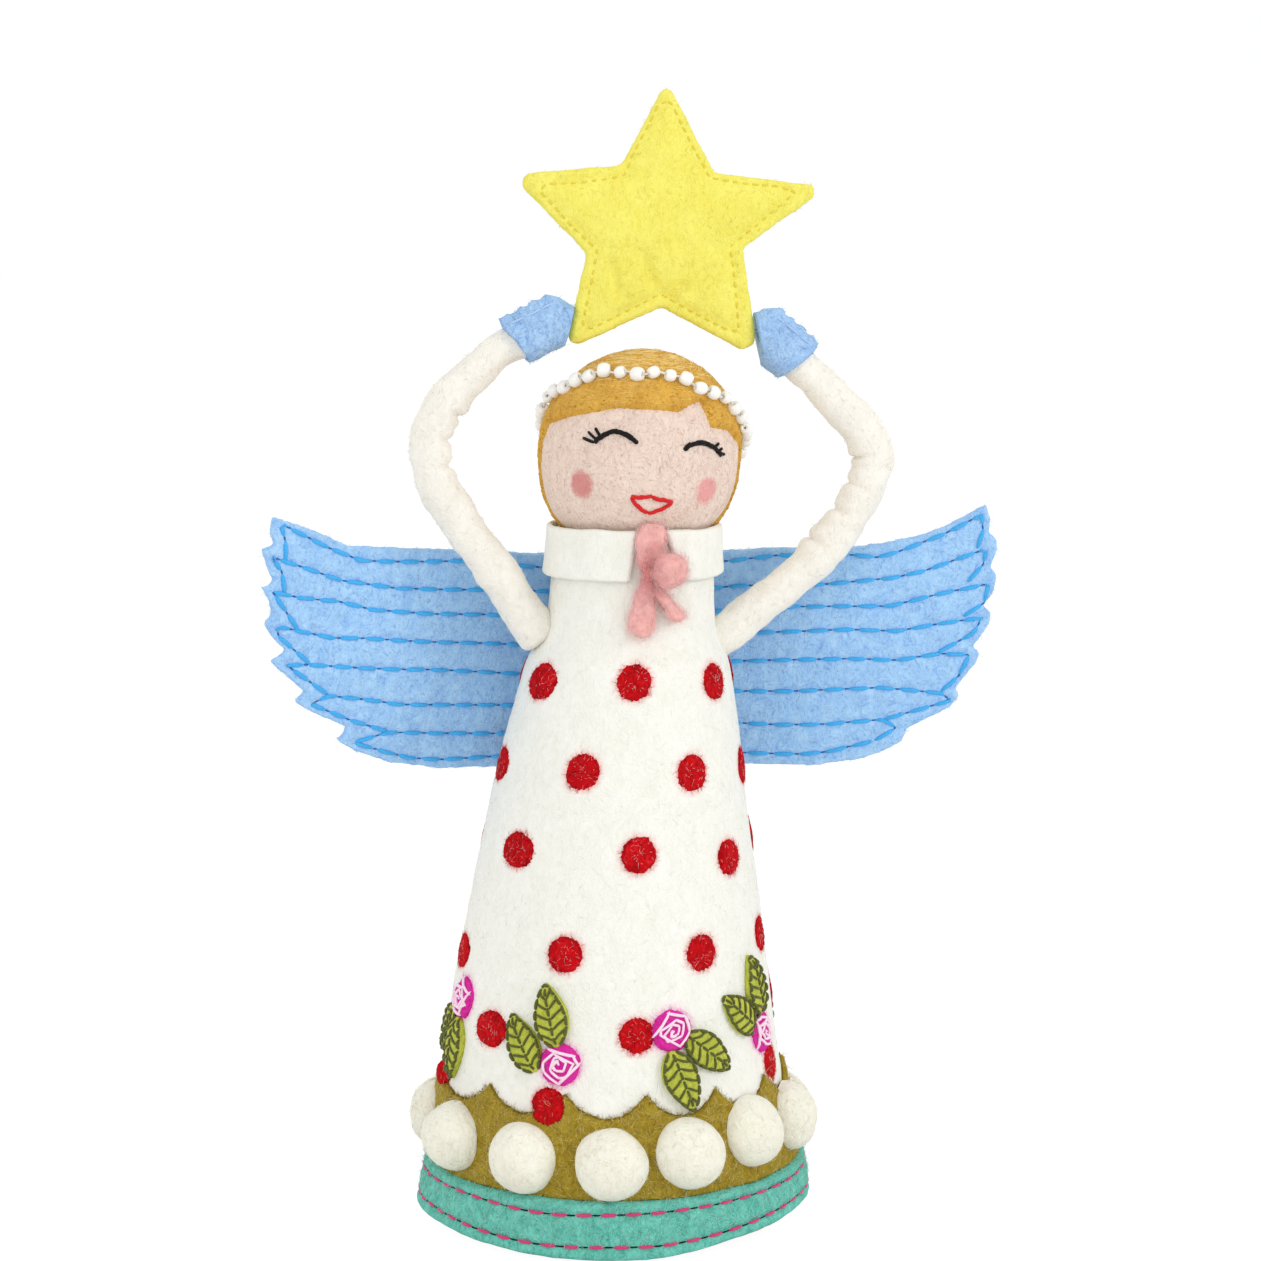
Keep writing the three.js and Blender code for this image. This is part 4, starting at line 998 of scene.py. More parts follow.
def sew_rose(runs, angle, height, seed):
    """Straight stitches in pale thread, wound outward from the middle corner by corner."""
    draw = random.Random(40 + seed)
    def on_rose(spot):
        off = ROSE_RISE * math.sqrt(max(0, 1 - (spot.length / (1.1 * ROSE_RADIUS)) ** 3)) + 0.1
        return on_dress(angle, height, spot.x, spot.y, off)
    corners = []
    for k in range(ROSE_CORNERS):
        turn = math.radians(64 * k + draw.uniform(-26, 26) + 50 * seed)
        reach = 0.5 + 3.9 * (k / (ROSE_CORNERS - 1)) ** 0.8 + draw.uniform(-0.55, 0.45)
        corners.append(Vector((math.cos(turn), math.sin(turn))) * reach)
    for first, last in zip(corners, corners[1:]):
        stitch(runs, [on_rose(first.lerp(last, share)) for share in (-0.1, 0.25, 0.5, 0.75, 1.12)],
               draw.uniform(0.27, 0.4), from_axis)


def make_sprays():
    draw = random.Random(24)
    strays = []
    for k, (angle, height, pair) in enumerate(SPRAYS):
        leaves, rose, veins, petals = bmesh.new(), bmesh.new(), [], []
        for leaf, lift in zip(pair, (0, 0.7)):
            make_leaf(leaves, angle, height, leaf, lift)
            sew_leaf(veins, angle, height, leaf, lift)
        make_rose(rose, angle, height, k)
        sew_rose(petals, angle, height, k)
        weld(leaves)
        piece(f"spray_leaves_{k + 1}", leaves, LEAF_FELT, "figure", "leaf_felt", [f"rose_spray_{k + 1}"])
        piece(f"leaf_veins_{k + 1}", tubes(veins), GREEN_THREAD, "figure", "green_thread")
        piece(f"rose_{k + 1}", rose, ROSE_FELT, "figure", "rose_felt")
        piece(f"rose_petals_{k + 1}", tubes(petals), PALE_PINK_THREAD, "figure", "pink_thread")
        rim_fuzz(strays, angle, height, ROSE_RADIUS, 1, 90, draw)
    piece("rose_fuzz", tubes(strays, 3), ROSE_FELT, "figure", "rose_felt")


# Head, face, hair and circlet

HAIR_THICKNESS = 1.3
# The hair's edge: it reaches under the fringe line, thickens across it and is tucked in towards the head
HAIR_OVERLAP = 1.4
HAIR_EDGE = (-0.5, 0.9)
HAIR_TUCK = 0.955
FACE_TURN = (Matrix.Rotation(math.radians(-VIEW_TURN), 3, "Z")
             @ Matrix.Rotation(math.radians(-VIEW_DROP), 3, "X"))
# Bare face, across and up from the head's middle as the photograph shows it
FRINGE = [(-19.4, -27), (-21.9, -11), (-22.75, -3), (-22.2, 3), (-20.9, 6.6), (-13.6, 8), (-5.1, 9.4),
          (1.6, 9), (8.5, 8.5), (13.2, 11.2), (14.7, 8.2), (16, 5.1), (20.2, 4.8), (22.7, 1.8), (22.95, -4),
          (22.3, -11), (19.6, -27)]
CHEEK_RADIUS = 0.0036
# Cheeks, across and up, and their colour: the pink is the wool's own, the left one's darker tone is painted
# shade and the right one's lighter tone painted light
CHEEKS = (((-13.3, -8), srgb(212, 130, 127)), ((15.7, -9.4), srgb(232, 156, 155)))
# Arched eyes, lashes and lips, across and up as above, and the thread's radius
EYES = ((((-10.5, 1.2), (-8.5, 3.1), (-5.6, 4.0), (-3.0, 3.1), (-0.4, 1.1)), 0.6),
        (((10.0, -0.6), (11.1, 0.8), (13.9, 1.65), (16.4, 0.85), (18.9, -1.3)), 0.58))
LASHES = (((-10.3, 1.5), (-13.4, 2.9)), ((-9.9, 1.9), (-12.2, 4.1)), ((-9.2, 2.6), (-10.7, 4.9)),
          ((18.4, -0.8), (19.7, -0.9)), ((17.9, -0.3), (19.2, 0.6)), ((17.1, 0.4), (18.3, 1.6)))
LASH_THREAD = 0.36
LIPS = (((-1.9, -10.8), (0.5, -11.15), (2.3, -11.1), (3.4, -10.9)),
        ((3.0, -10.9), (5.1, -11.5), (8.0, -12.2)),
        ((8.0, -12.1), (6.0, -13.4), (3.6, -14.2), (2.0, -14.6)),
        ((2.3, -14.6), (0.4, -13.6), (-1.9, -10.9)))
LIP_THREAD = 0.52


def head_reach(way):
    """Distance of the head's surface from its centre; its lower half is fuller than a ball."""
    power = HEAD_FULLNESS if way.z < 0 else 2
    return HEAD_RADIUS / (math.hypot(way.x, way.y) ** power + abs(way.z) ** power) ** (1 / power)


def on_head(x, y, off=0.0):
    """Point of the head that lies at x and y as the face is seen."""
    reach = HEAD_RADIUS
    for _ in range(4):
        depth = math.sqrt(max(0, reach ** 2 - x * x - y * y))
        way = (FACE_TURN @ Vector((x, -depth, y))).normalized()
        reach = head_reach(way)
    return HEAD_CENTRE + way * (reach + off)


def make_head():
    bm = bmesh.new()
    for vert in ball(bm, 6):
        vert.co = HEAD_CENTRE + vert.co * head_reach(vert.co)
    roughen(bm, 9, 0.25, 50)
    roughen(bm, 2.5, 0.1, 51)
    surface = BVHTree.FromBMesh(bm)
    places = scatter(bm, 1500, 27, lambda point, way: point.y < -4)
    # Rosy cheeks, with painted shade on the left one and painted light on the right one
    for spot, colour in CHEEKS:
        redden(FACE_FELT, placed(on_head(*spot)), CHEEK_RADIUS, colour)
    head = piece("felt_head", bm, FACE_FELT, "figure", "face_felt", ["head"])
    fuzz("face_fuzz", places, FACE_FELT, "figure", "face_felt", 1.5, 0.16, 0.035)
    sew_face(surface)


def curve_through(points, count):
    return [tuple(spline(points, step / count)) for step in range(count + 1)]


def sew_face(surface):
    """Arched eyes with lashes in black thread, a small mouth in red."""
    eyes, mouth = [], []
    draw = random.Random(21)
    def sew(runs, points, radius, length=2.2):
        line, total = spaced(pressed_on(surface, [on_head(x, y) for x, y in points], from_head), 0.1)
        count = max(1, round(total / length))
        for k in range(count):
            ends = [min(1, max(0, share / count)) for share in (k - 0.3, k + 1.3)]
            first, last = (int(end * (len(line) - 1)) for end in ends)
            shift = Vector((draw.uniform(-0.12, 0.12), 0, draw.uniform(-0.16, 0.16)))
            part = [point + shift for point in line[first:last + 1]]
            stitch(runs, part, radius * draw.uniform(0.85, 1.1), from_head)
    for arch, thread in EYES:
        sew(eyes, curve_through(arch, 20), thread)
    for lash in LASHES:
        sew(eyes, lash, LASH_THREAD, 4)
    piece("eye_stitches", tubes(eyes), BLACK_THREAD_AND_GAP_SHADE, "figure", "black_thread")
    for lip in LIPS:
        sew(mouth, curve_through(lip, 8), LIP_THREAD, 2.6)
    piece("mouth_stitches", tubes(mouth), RED_THREAD, "figure", "red_thread")


def beside(points, x, y):
    """Signed distance of a point from a closed outline, above 0 outside it."""
    best, inside = 1e9, False
    for (ax, ay), (bx, by) in zip(points, points[1:] + points[:1]):
        dx, dy = bx - ax, by - ay
        share = min(1, max(0, ((x - ax) * dx + (y - ay) * dy) / (dx * dx + dy * dy)))
        best = min(best, math.hypot(x - ax - share * dx, y - ay - share * dy))
        if (ay > y) != (by > y) and x < ax + (y - ay) / dy * dx:
            inside = not inside
    return -best if inside else best


def make_hair():
    """Cap of wool laid on the head; its edge thins out into the face."""
    bm = bmesh.new()
    verts = ball(bm, 7)
    back = FACE_TURN.transposed()
    lowest = COLLAR_TOP - 1 - HEAD_CENTRE.z
    away = []
    for vert in verts:
        seen = back @ vert.co
        front = seen.y < 0
        edge = beside(FRINGE, seen.x * HEAD_RADIUS, seen.z * HEAD_RADIUS) if front else 5
        edge = min(edge, vert.co.z * HEAD_RADIUS - lowest)
        if edge < -HAIR_OVERLAP:
            away.append(vert)
            continue
        edge += 0.3 * noise.noise(vert.co * 40)
        cover = smoothstep(*HAIR_EDGE, edge)
        streak = noise.noise(Vector((seen.x * 5, seen.y * 5, seen.z * 26)))
        thick = HAIR_THICKNESS * mix(0.6, 1, smoothstep(-0.2, 0.5, vert.co.z)) + 0.12 * streak
        vert.co = vert.co * (head_reach(vert.co) + mix(-0.6, thick, cover))
    bmesh.ops.delete(bm, geom=away, context="VERTS")
    rim = [edge for edge in bm.edges if edge.is_boundary]
    drawn = bmesh.ops.extrude_edge_only(bm, edges=rim)["geom"]
    for vert in drawn:
        if isinstance(vert, bmesh.types.BMVert):
            vert.co *= HAIR_TUCK
    for vert in bm.verts:
        vert.co += HEAD_CENTRE
    roughen(bm, 5, 0.12, 55)
    places = scatter(bm, 1900, 14, lambda point, way: way.dot(from_head(point)) > 0.2)
    crown = scatter(bm, 500, 25, lambda point, way: point.z > HEAD_CENTRE.z + 18)
    surface = BVHTree.FromBMesh(bm)
    settle(bm)
    piece("wool_hair", bm, HAIR_WOOL, "figure", "hair_wool", ["hair"])
    fuzz("hair_fuzz", places[:700], HAIR_WOOL, "figure", "hair_wool", 1.6, 0.35)
    draw = random.Random(22)
    # The crown's strands are in the paler wool: painted light on the top of the hair
    layers = (("hair_strands", places[700:], LOOSE_HAIR, 0.18), ("crown_strands", crown, CROWN_HIGHLIGHT_HAIR, 0.6))
    for name, roots, colour, stray in layers:
        strands = []
        for point, outward in roots:
            along = Vector((0, 0, 1)).cross(outward).normalized()
            along += Vector((0, 0, 1)) * draw.gauss(0, stray)
            length = draw.uniform(3, 7)
            path = []
            for share in (-0.5, -0.3, -0.1, 0.1, 0.3, 0.5):
                way = from_head(point + along * length * share)
                hit = surface.ray_cast(HEAD_CENTRE + way * 40, -way)[0]
                if hit is not None and (hit - HEAD_CENTRE).length > HEAD_RADIUS + 0.3:
                    path.append(hit)
            if len(path) == 6:
                strand(strands, path, draw.uniform(0.06, 0.11), from_head)
        piece(name, tubes(strands, 4), colour, "figure", "hair_wool")


BEAD_COUNT = 39
CIRCLET_RADIUS = 24.3
CIRCLET_LIFT = 7.2
CIRCLET_TILT = (Matrix.Rotation(math.radians(-VIEW_TURN), 3, "Z") @ Matrix.Rotation(math.radians(7.5), 3, "Y")
                @ Matrix.Rotation(math.radians(-35), 3, "X"))


def on_circlet(turn, out=0.0, up=0.0):
    return HEAD_CENTRE + CIRCLET_TILT @ around(turn, CIRCLET_RADIUS + out, CIRCLET_LIFT + up)


def make_circlet():
    """Seed beads, each a little different, on a thread that wanders over the hair."""
    draw = random.Random(7)
    bm = bmesh.new()
    def on_thread(turn, out=0.0, up=0.0):
        wander = 0.5 * math.sin(math.radians(turn * 9)) + 0.35 * math.sin(math.radians(turn * 23 + 50))
        return on_circlet(turn, out, up + wander)
    for k in range(BEAD_COUNT):
        turn = 360 * (k + draw.uniform(-0.06, 0.06)) / BEAD_COUNT
        centre = on_thread(turn)
        forward = (on_thread(turn + 1) - on_thread(turn - 1)).normalized()
        forward = (forward + any_way(draw, 0.2)).normalized()
        out = (on_circlet(turn, 1) - on_circlet(turn))
        out = (out - forward * out.dot(forward)).normalized()
        up = forward.cross(out)
        long, wide = draw.uniform(1.25, 1.65), draw.uniform(1.45, 1.8)
        section = [(wide * (0.35 + 0.65 * math.sin(bend) ** 0.8), -long * math.cos(bend))
                   for bend in np.linspace(0.25, math.pi - 0.25, 9)]
        section += [(0.32, long * 0.8), (0.32, -long * 0.8)]
        rows = len(section)
        def rule(across, along):
            reach, place = section[round(along * rows) % rows]
            bend = FULL_TURN * across
            return centre + forward * place + (out * math.cos(bend) + up * math.sin(bend)) * reach
        mould(lattice(bm, 14, rows), rule)
    weld(bm)
    piece("circlet_beads", bm, BEAD_GLASS, "figure", "bead", ["bead_circlet"])
    thread = bmesh.new()
    def round_rule(across, along):
        bend = FULL_TURN * across
        return on_thread(360 * along, 0.28 * math.cos(bend), 0.28 * math.sin(bend))
    mould(lattice(thread, 6, 252), round_rule)
    weld(thread)
    piece("circlet_thread", thread, WHITE_THREAD, "figure", "bead")


# Collar and bow

COLLAR_FOOT = 152.9
COLLAR_TOP = 164.7
COLLAR_THICKNESS = 1.6
COLLAR_FLARE = 0.4
COLLAR_LENGTH = 115
COLLAR_ROUNDING = 0.9
# Angles where the collar starts and ends
COLLAR_OPENING = {"foot": (24, 348), "top": (9.5, 352)}


def make_collar():
    bm = bmesh.new()
    def rule(across, along):
        front = along < 0.5
        share = along * 2 if front else 2 - along * 2
        low, high = COLLAR_OPENING["foot"], COLLAR_OPENING["top"]
        angle = mix(mix(low[0], low[1], across), mix(high[0], high[1], across), share)
        height = mix(COLLAR_FOOT, COLLAR_TOP, share)
        height += 0.35 * noise.noise(Vector((math.radians(angle) * 2.2, 3.3, 0)))
        edge = min(across, 1 - across) * COLLAR_LENGTH
        lip = min(share, 1 - share) * (COLLAR_TOP - COLLAR_FOOT)
        full = 1
        for gap in (edge, lip):
            full *= math.sqrt(max(0, 1 - (1 - min(gap / COLLAR_ROUNDING, 1)) ** 2))
        middle = dress_radius(height) + SEWN_GAP + COLLAR_THICKNESS / 2 + COLLAR_FLARE * (1 - share) ** 2
        return around(angle, middle + COLLAR_THICKNESS / 2 * full * (1 if front else -1), height)
    mould(lattice(bm, 220, 60), rule)
    weld(bm)
    roughen(bm, 9, 0.22, 60)
    roughen(bm, 3, 0.1, 61)
    collar = piece("felt_collar", bm, CREAM, "figure", "cream_felt", ["collar"])


BOW_HEIGHT = 155.6
BOW_DEPTH = 3.4
PUFF_RADIUS = 4.3
PUFF_PLACE = (3.4, 0.3)
KNOT_PLACE = (0.2, -0.6)
KNOT_RADIUS = 1.9
STRAND_RINGS = 15
# Bundles of roving: the way across and up from the knot, half widths along it, strands
BOW_BUNDLES = (
    (((0, -0.4), (0, 3), (0.1, 6.5), (0.4, 11)), (1.6, 2.7, 3.2, 3), 26),
    (((0, 0.3), (-0.4, -4.4), (-0.8, -9), (-1.3, -15.4)), (1.4, 1.9, 2.7, 3.3), 28),
    (((0.3, -0.2), (1.9, -4.2), (4, -7.8), (7.6, -11.6)), (1.3, 1.5, 1.6, 1.7), 18),
)


def on_bow(across, up, off):
    """Point of the bow, across and up from its knot; it lies over the collar's edges."""
    level = BOW_HEIGHT + up
    lap = smoothstep(COLLAR_FOOT - 1.5, COLLAR_FOOT + 0.5, level) * smoothstep(1.8, 4.2, abs(across))
    seat = dress_radius(level) + SEWN_GAP + (COLLAR_THICKNESS + COLLAR_FLARE) * lap
    return around(math.degrees(across / dress_radius(BOW_HEIGHT)), seat + off, level)


def make_bow():
    """Loose roving tied in a knot: a lobe, a puff and two tails."""
    draw = random.Random(15)
    cores, strands = [], []
    for path, widths, count in BOW_BUNDLES:
        def bundle(share, side, off):
            ahead = spline(path, min(share + 0.02, 1)) - spline(path, max(share - 0.02, 0))
            half = float(np.interp(share * (len(widths) - 1), range(len(widths)), widths))
            spot = spline(path, share) + Vector((ahead.y, -ahead.x)).normalized() * side * half
            return on_bow(spot.x, spot.y, off)
        core = []
        for step in range(STRAND_RINGS):
            share = step / (STRAND_RINGS - 1)
            middle = bundle(share, 0, BOW_DEPTH / 2)
            side = (bundle(share, 1, BOW_DEPTH / 2) - bundle(share, -1, BOW_DEPTH / 2)) * 0.47
            full = math.sqrt(max(0, 1 - max(0, (share - 0.78) / 0.22) ** 2)) if step else 0
            core.append((middle, side, from_axis(middle) * BOW_DEPTH * 0.46, full))
        cores.append(core)
        for _ in range(count):
            spoke, reach, lead = draw.uniform(0, FULL_TURN), draw.uniform(0.85, 1), draw.uniform(0, 60)
            start, stop = draw.uniform(0, 0.08), draw.uniform(0.88, 1)
            points = []
            for step in range(STRAND_RINGS):
                share = mix(start, stop, step / (STRAND_RINGS - 1))
                swing = spoke + 1.1 * noise.noise(Vector((share * 2.5, lead, 0)))
                out = reach * (1 + 0.25 * noise.noise(Vector((share * 5, lead, 9))))
                off = BOW_DEPTH / 2 * (1 + 0.95 * out * math.sin(swing))
                points.append(bundle(share, out * math.cos(swing), off))
            strand(strands, points, draw.uniform(0.04, 0.08), from_axis)
    puff_middle = on_bow(*PUFF_PLACE, PUFF_RADIUS * 0.8)
    def from_puff(point):
        return (point - puff_middle).normalized()
    for _ in range(30):
        first = any_way(draw).normalized()
        second = first.orthogonal().normalized()
        second.rotate(Matrix.Rotation(draw.uniform(0, FULL_TURN), 3, first))
        span = draw.uniform(1.2, 2.4)
        points = []
        for step in range(STRAND_RINGS):
            turn = span * step / (STRAND_RINGS - 1)
            wave = 1 + 0.05 * noise.noise(first * 5 + Vector((turn * 2, 0, 0)))
            spoke = first * math.cos(turn) + second * math.sin(turn)
            points.append(puff_middle + spoke * PUFF_RADIUS * 0.93 * wave)
        strand(strands, points, draw.uniform(0.04, 0.08), from_puff)
    bm = tubes(cores, 16)
    for vert in ball(bm, 4):
        vert.co = puff_middle + vert.co * PUFF_RADIUS * 0.92
    bmesh.ops.subdivide_edges(bm, edges=bm.edges, cuts=2, use_grid_fill=True)
    soften(bm, 3)
    roughen(bm, 3.2, 0.8, 62)
    roughen(bm, 1.1, 0.25, 63)
    places = scatter(bm, 3000, 16, lambda point, way: way.dot(from_axis(point)) > -0.3)
    piece("wool_bow", bm, PINK_WOOL, "figure", "bow_wool", ["bow"])
    piece("bow_strands", tubes(strands, 5), LOOSE_PINK, "figure", "bow_wool")
    knot = bmesh.new()
    for vert in ball(knot, 4):
        vert.co = on_bow(*KNOT_PLACE, BOW_DEPTH * 0.6) + vert.co * KNOT_RADIUS
    roughen(knot, 1.2, 0.35, 64)
    piece("bow_knot", knot, PINK_WOOL, "figure", "bow_wool")
    # Painted shade: the pink wool is darkened round the knot, where the tied roving lies in shade
    redden(PINK_WOOL, placed(on_bow(*KNOT_PLACE, BOW_DEPTH * 0.8)), 0.0075, srgb(206, 108, 110), 0.0068, 0.85)
    fuzz("bow_fuzz", places, LOOSE_PINK, "figure", "bow_wool", 2.3, 0.9, 0.02)


# Arms and mitts

ARM_RADIUS = 4.75
WRIST_RADIUS = 4.1
WRIST_TAPER = (7, 24)
ARM_END = 2.2
# Bends of each arm, across and up
ARM_KNOTS = {
    "left": [(-20.5, 136.8), (-22.7, 139.8), (-32, 153.1), (-41.7, 166.3), (-47.2, 175.1), (-48.9, 182.4),
             (-47.8, 189.4), (-42.5, 196.7), (-37.9, 201.5), (-33.2, 205.1), (-29.4, 207), (-24.9, 209)],
    "right": [(17.4, 134.4), (23.5, 138.6), (34.6, 147.3), (43.4, 154.8), (52.4, 166.4), (56.4, 174.7),
              (57, 179.5), (54.5, 185), (45.2, 194.9), (40.6, 199.1), (37.4, 201.9), (33.5, 205.1)],
}
# Folds of the wool inside each elbow, as distances along the arm, and the side where they lie
ARM_FOLDS = {"left": (1, (49.7, 57, 65.3)), "right": (-1, (36.8, 46.3, 53.8, 63))}
CREASE_DEPTH = 0.8
CREASE_WIDTH = 0.8
ROLL_HEIGHT = 0.5
ROLL_WIDTH = 1.7
ROLL_OFFSET = 2.4
MITT_LENGTH = 15
MITT_CUFF_DEPTH = 5.4
MITT_TIP_DEPTH = 3.1
MITT_HALF_WIDTH = 5.5
MITT_GAP = 0.35
FIN_HEIGHT = 1.6
FIN_WAVE = 0.3
FIN_SHARPNESS = 26
# Mitts: side of the figure, middle and slope of the cuff, and the leg of the star that the mitt ends at
MITTS = {
    "left": {"side": -1, "cuff": (-29.4, 207), "slope": 25, "leg": ((-17.3, 207.7), (-13.3, 227.5))},
    "right": {"side": 1, "cuff": (37.4, 201.9), "slope": 39.5, "leg": ((27.7, 207.7), (23.6, 228.7))},
}


def arm_line(name):
    """The arm's bends as one smooth line, evenly spaced."""
    knots = [Vector((x, 0, z)) for x, z in ARM_KNOTS[name]]
    dense = []
    for k in range(len(knots) - 1):
        before = knots[k - 1] if k else 2 * knots[0] - knots[1]
        after = knots[k + 2] if k + 2 < len(knots) else 2 * knots[-1] - knots[-2]
        first, last = knots[k], knots[k + 1]
        gaps = [(b - a).length ** 0.5 for a, b in ((before, first), (first, last), (last, after))]
        start = (first - before) / gaps[0] - (last - before) / (gaps[0] + gaps[1]) + (last - first) / gaps[1]
        end = (last - first) / gaps[1] - (after - first) / (gaps[1] + gaps[2]) + (after - last) / gaps[2]
        start, end = start * gaps[1], end * gaps[1]
        for step in range(24):
            t = step / 24
            dense.append(first + start * t + (3 * last - 3 * first - 2 * start - end) * t ** 2
                         + (2 * first - 2 * last + start + end) * t ** 3)
    dense.append(knots[-1])
    return spaced(dense, 0.5)


def make_arm(name):
    line, length = arm_line(name)
    bm = bmesh.new()
    rings, sides = len(line) - 1, 40
    inside, folds = ARM_FOLDS[name]
    forward = Vector((0, 1, 0))
    def rule(across, along):
        k = round(along * rings)
        tangent = (line[min(k + 1, rings)] - line[max(k - 1, 0)]).normalized()
        upward = forward.cross(tangent)
        spot = along * length
        wrist = smoothstep(*WRIST_TAPER, length - spot)
        radius = mix(WRIST_RADIUS, ARM_RADIUS, wrist)
        radius *= math.sqrt(max(0.0, 1 - max(0, 1 - spot / ARM_END) ** 2))
        bend = FULL_TURN * across
        inner = smoothstep(0, 0.9, inside * math.sin(bend))
        crease = sum(math.exp(-((spot - fold) / CREASE_WIDTH) ** 2) for fold in folds)
        roll = sum(math.exp(-((abs(spot - fold) - ROLL_OFFSET) / ROLL_WIDTH) ** 2) for fold in folds)
        radius += inner * (ROLL_HEIGHT * roll - CREASE_DEPTH * crease)
        return line[k] + (forward * math.cos(bend) + upward * math.sin(bend)) * max(radius, 1e-4)
    mould(lattice(bm, sides, rings), rule)
    weld(bm)
    bmesh.ops.holes_fill(bm, edges=bm.edges)
    roughen(bm, 8, 0.7, 70 if name == "left" else 71)
    roughen(bm, 3, 0.3, 72)
    places = scatter(bm, 520, 17)
    arm = piece(f"wool_arm_{name}", bm, ARM_WOOL, "arms", "arm_wool", [f"arm_{name}"])
    fuzz(f"arm_fuzz_{name}", places, ARM_WOOL, "arms", "arm_wool", 1.7, 0.4)


def make_mitt(name):
    """Felt folded over the hand and sewn along the top, its wavy edge standing up."""
    sizes = MITTS[name]
    slope = math.radians(sizes["slope"])
    along_way = Vector((-sizes["side"] * math.cos(slope), 0, math.sin(slope)))
    forward = Vector((0, 1, 0))
    upward = forward.cross(along_way) * sizes["side"]
    cuff = Vector((sizes["cuff"][0], 0, sizes["cuff"][1]))
    tip, notch = (Vector((x, 0, z)) for x, z in sizes["leg"])
    edge = notch - tip
    away = Vector((edge.z, 0, -edge.x)).normalized() * sizes["side"]
    stop = tip + away * MITT_GAP
    bm = bmesh.new()
    sides, rings = 72, 30
    def skin(bend, at):
        depth = mix(MITT_CUFF_DEPTH, MITT_TIP_DEPTH, smoothstep(3, 14, at))
        fin = max(0, math.sin(bend)) ** FIN_SHARPNESS
        wave = FIN_HEIGHT + FIN_WAVE * math.sin(at * 1.9) + 0.2 * noise.noise(Vector((at, 0, sizes["side"])))
        wave *= 1 - smoothstep(12, 17, at)
        taper = 4.6 * smoothstep(11, 18, at) if math.sin(bend) > 0 else 2.4 * smoothstep(10.5, 16, at)
        width = MITT_HALF_WIDTH - taper
        flat = abs(math.cos(bend)) ** 0.85 * math.copysign(1, math.cos(bend))
        return cuff + along_way * at + forward * depth * flat + upward * (width * math.sin(bend) + wave * fin)
    def rule(across, along):
        lead = -1.2 * math.sin(FULL_TURN * across)
        return skin(FULL_TURN * across, mix(lead, MITT_LENGTH + 5, along))
    mould(lattice(bm, sides, rings), rule)
    weld(bm)
    mouth = [e for e in bm.edges if e.is_boundary and (e.verts[0].co - cuff).dot(along_way) < 2]
    for shrink, shift in ((0.80, 0.0), (0.74, 4.0)):
        made = bmesh.ops.extrude_edge_only(bm, edges=mouth)["geom"]
        mouth = [item for item in made if isinstance(item, bmesh.types.BMEdge)]
        for vert in [item for item in made if isinstance(item, bmesh.types.BMVert)]:
            at = (vert.co - cuff).dot(along_way)
            spoke = vert.co - cuff - along_way * at
            reach = min(spoke.length, MITT_CUFF_DEPTH) * shrink
            vert.co = cuff + spoke.normalized() * reach + along_way * (at + shift)
    bmesh.ops.bisect_plane(bm, geom=bm.verts[:] + bm.edges[:] + bm.faces[:], plane_co=stop, plane_no=-away,
                           clear_outer=True)
    bmesh.ops.holes_fill(bm, edges=bm.edges)
    settle(bm)
    roughen(bm, 4, 0.3, 80)
    roughen(bm, 1.8, 0.1, 81)
    places = scatter(bm, 420, 26)
    mitt = piece(f"felt_mitt_{name}", bm, MITT_FELT, "arms", "blue_felt", [f"mitt_{name}"])
    seam = []
    for facing in (-1, 1):
        bend = math.pi / 2 + facing * math.radians(27)
        row = [skin(bend, at) for at in np.linspace(0.3, MITT_LENGTH - 2.6, 30)]
        running_stitch(seam, row, 3.4, 0.5, 0.26, lambda point, facing=facing: Vector((0, -facing, 0)))
    piece(f"mitt_seam_{name}", tubes(seam), PALE_BLUE_THREAD, "arms", "blue_thread")
    fuzz(f"mitt_fuzz_{name}", places, MITT_FELT, "arms", "blue_felt", 1.8, 0.3, 0.045)


# Star and wings

# Star, across and up from its middle: the felt as it was cut, and the line of the seam
STAR_OUTLINE = [(-1.9, 31.7), (-0.5, 32.6), (0.9, 31.8), (11.5, 12.9), (35, 10.2), (35.8, 7.4),
                (18.8, -4.7), (22.9, -25.4), (22.3, -27.4), (19.2, -28.6), (0.2, -18.2), (-19.8, -27),
                (-22.1, -25.5), (-18.1, -5.8), (-34.2, 10.3), (-32.8, 13), (-10.6, 14.6)]
STAR_SEAM = [(-0.4, 29.4), (-2.4, 28.6), (-4.5, 24.1), (-8.2, 16.8), (-9.7, 12.6), (-13.3, 11.6),
             (-20.1, 10.8), (-28.5, 10.3), (-29.6, 8.8), (-21.7, 0.6), (-15.8, -4.8), (-16.7, -10.7),
             (-18.2, -19), (-18.7, -22.1), (-16.6, -22.9), (-8.1, -18.8), (-0.5, -15), (7.1, -19.2),
             (15.2, -23.3), (18.4, -24), (17.6, -16.7), (16.4, -8.3), (15.5, -4.3), (21.6, 0.7),
             (30.8, 8.4), (26.5, 9.8), (19.3, 10.3), (10.3, 11.7), (5.8, 19.3), (2.3, 25.7), (0.7, 28.9)]
# Folds where the felt gathers low on the front
STAR_FOLDS = (((-12.6, -8), (-10.6, -16)), ((-5.4, -5.4), (-2.4, -13)), ((6.5, -15), (9.6, -9.5)))
STAR_FELT_THICKNESS = 1.7
STAR_HALF = 7.0
STAR_CELL = 1.0
FOLD_DEPTH = 1.3
FOLD_WIDTH = 1.1
SEAM_DEPTH = 0.6
SEAM_WIDTH = 0.9
MOST_SWELL = 6
CLOTH_SCALE = 0.01
CLOTH_FRAMES = 20


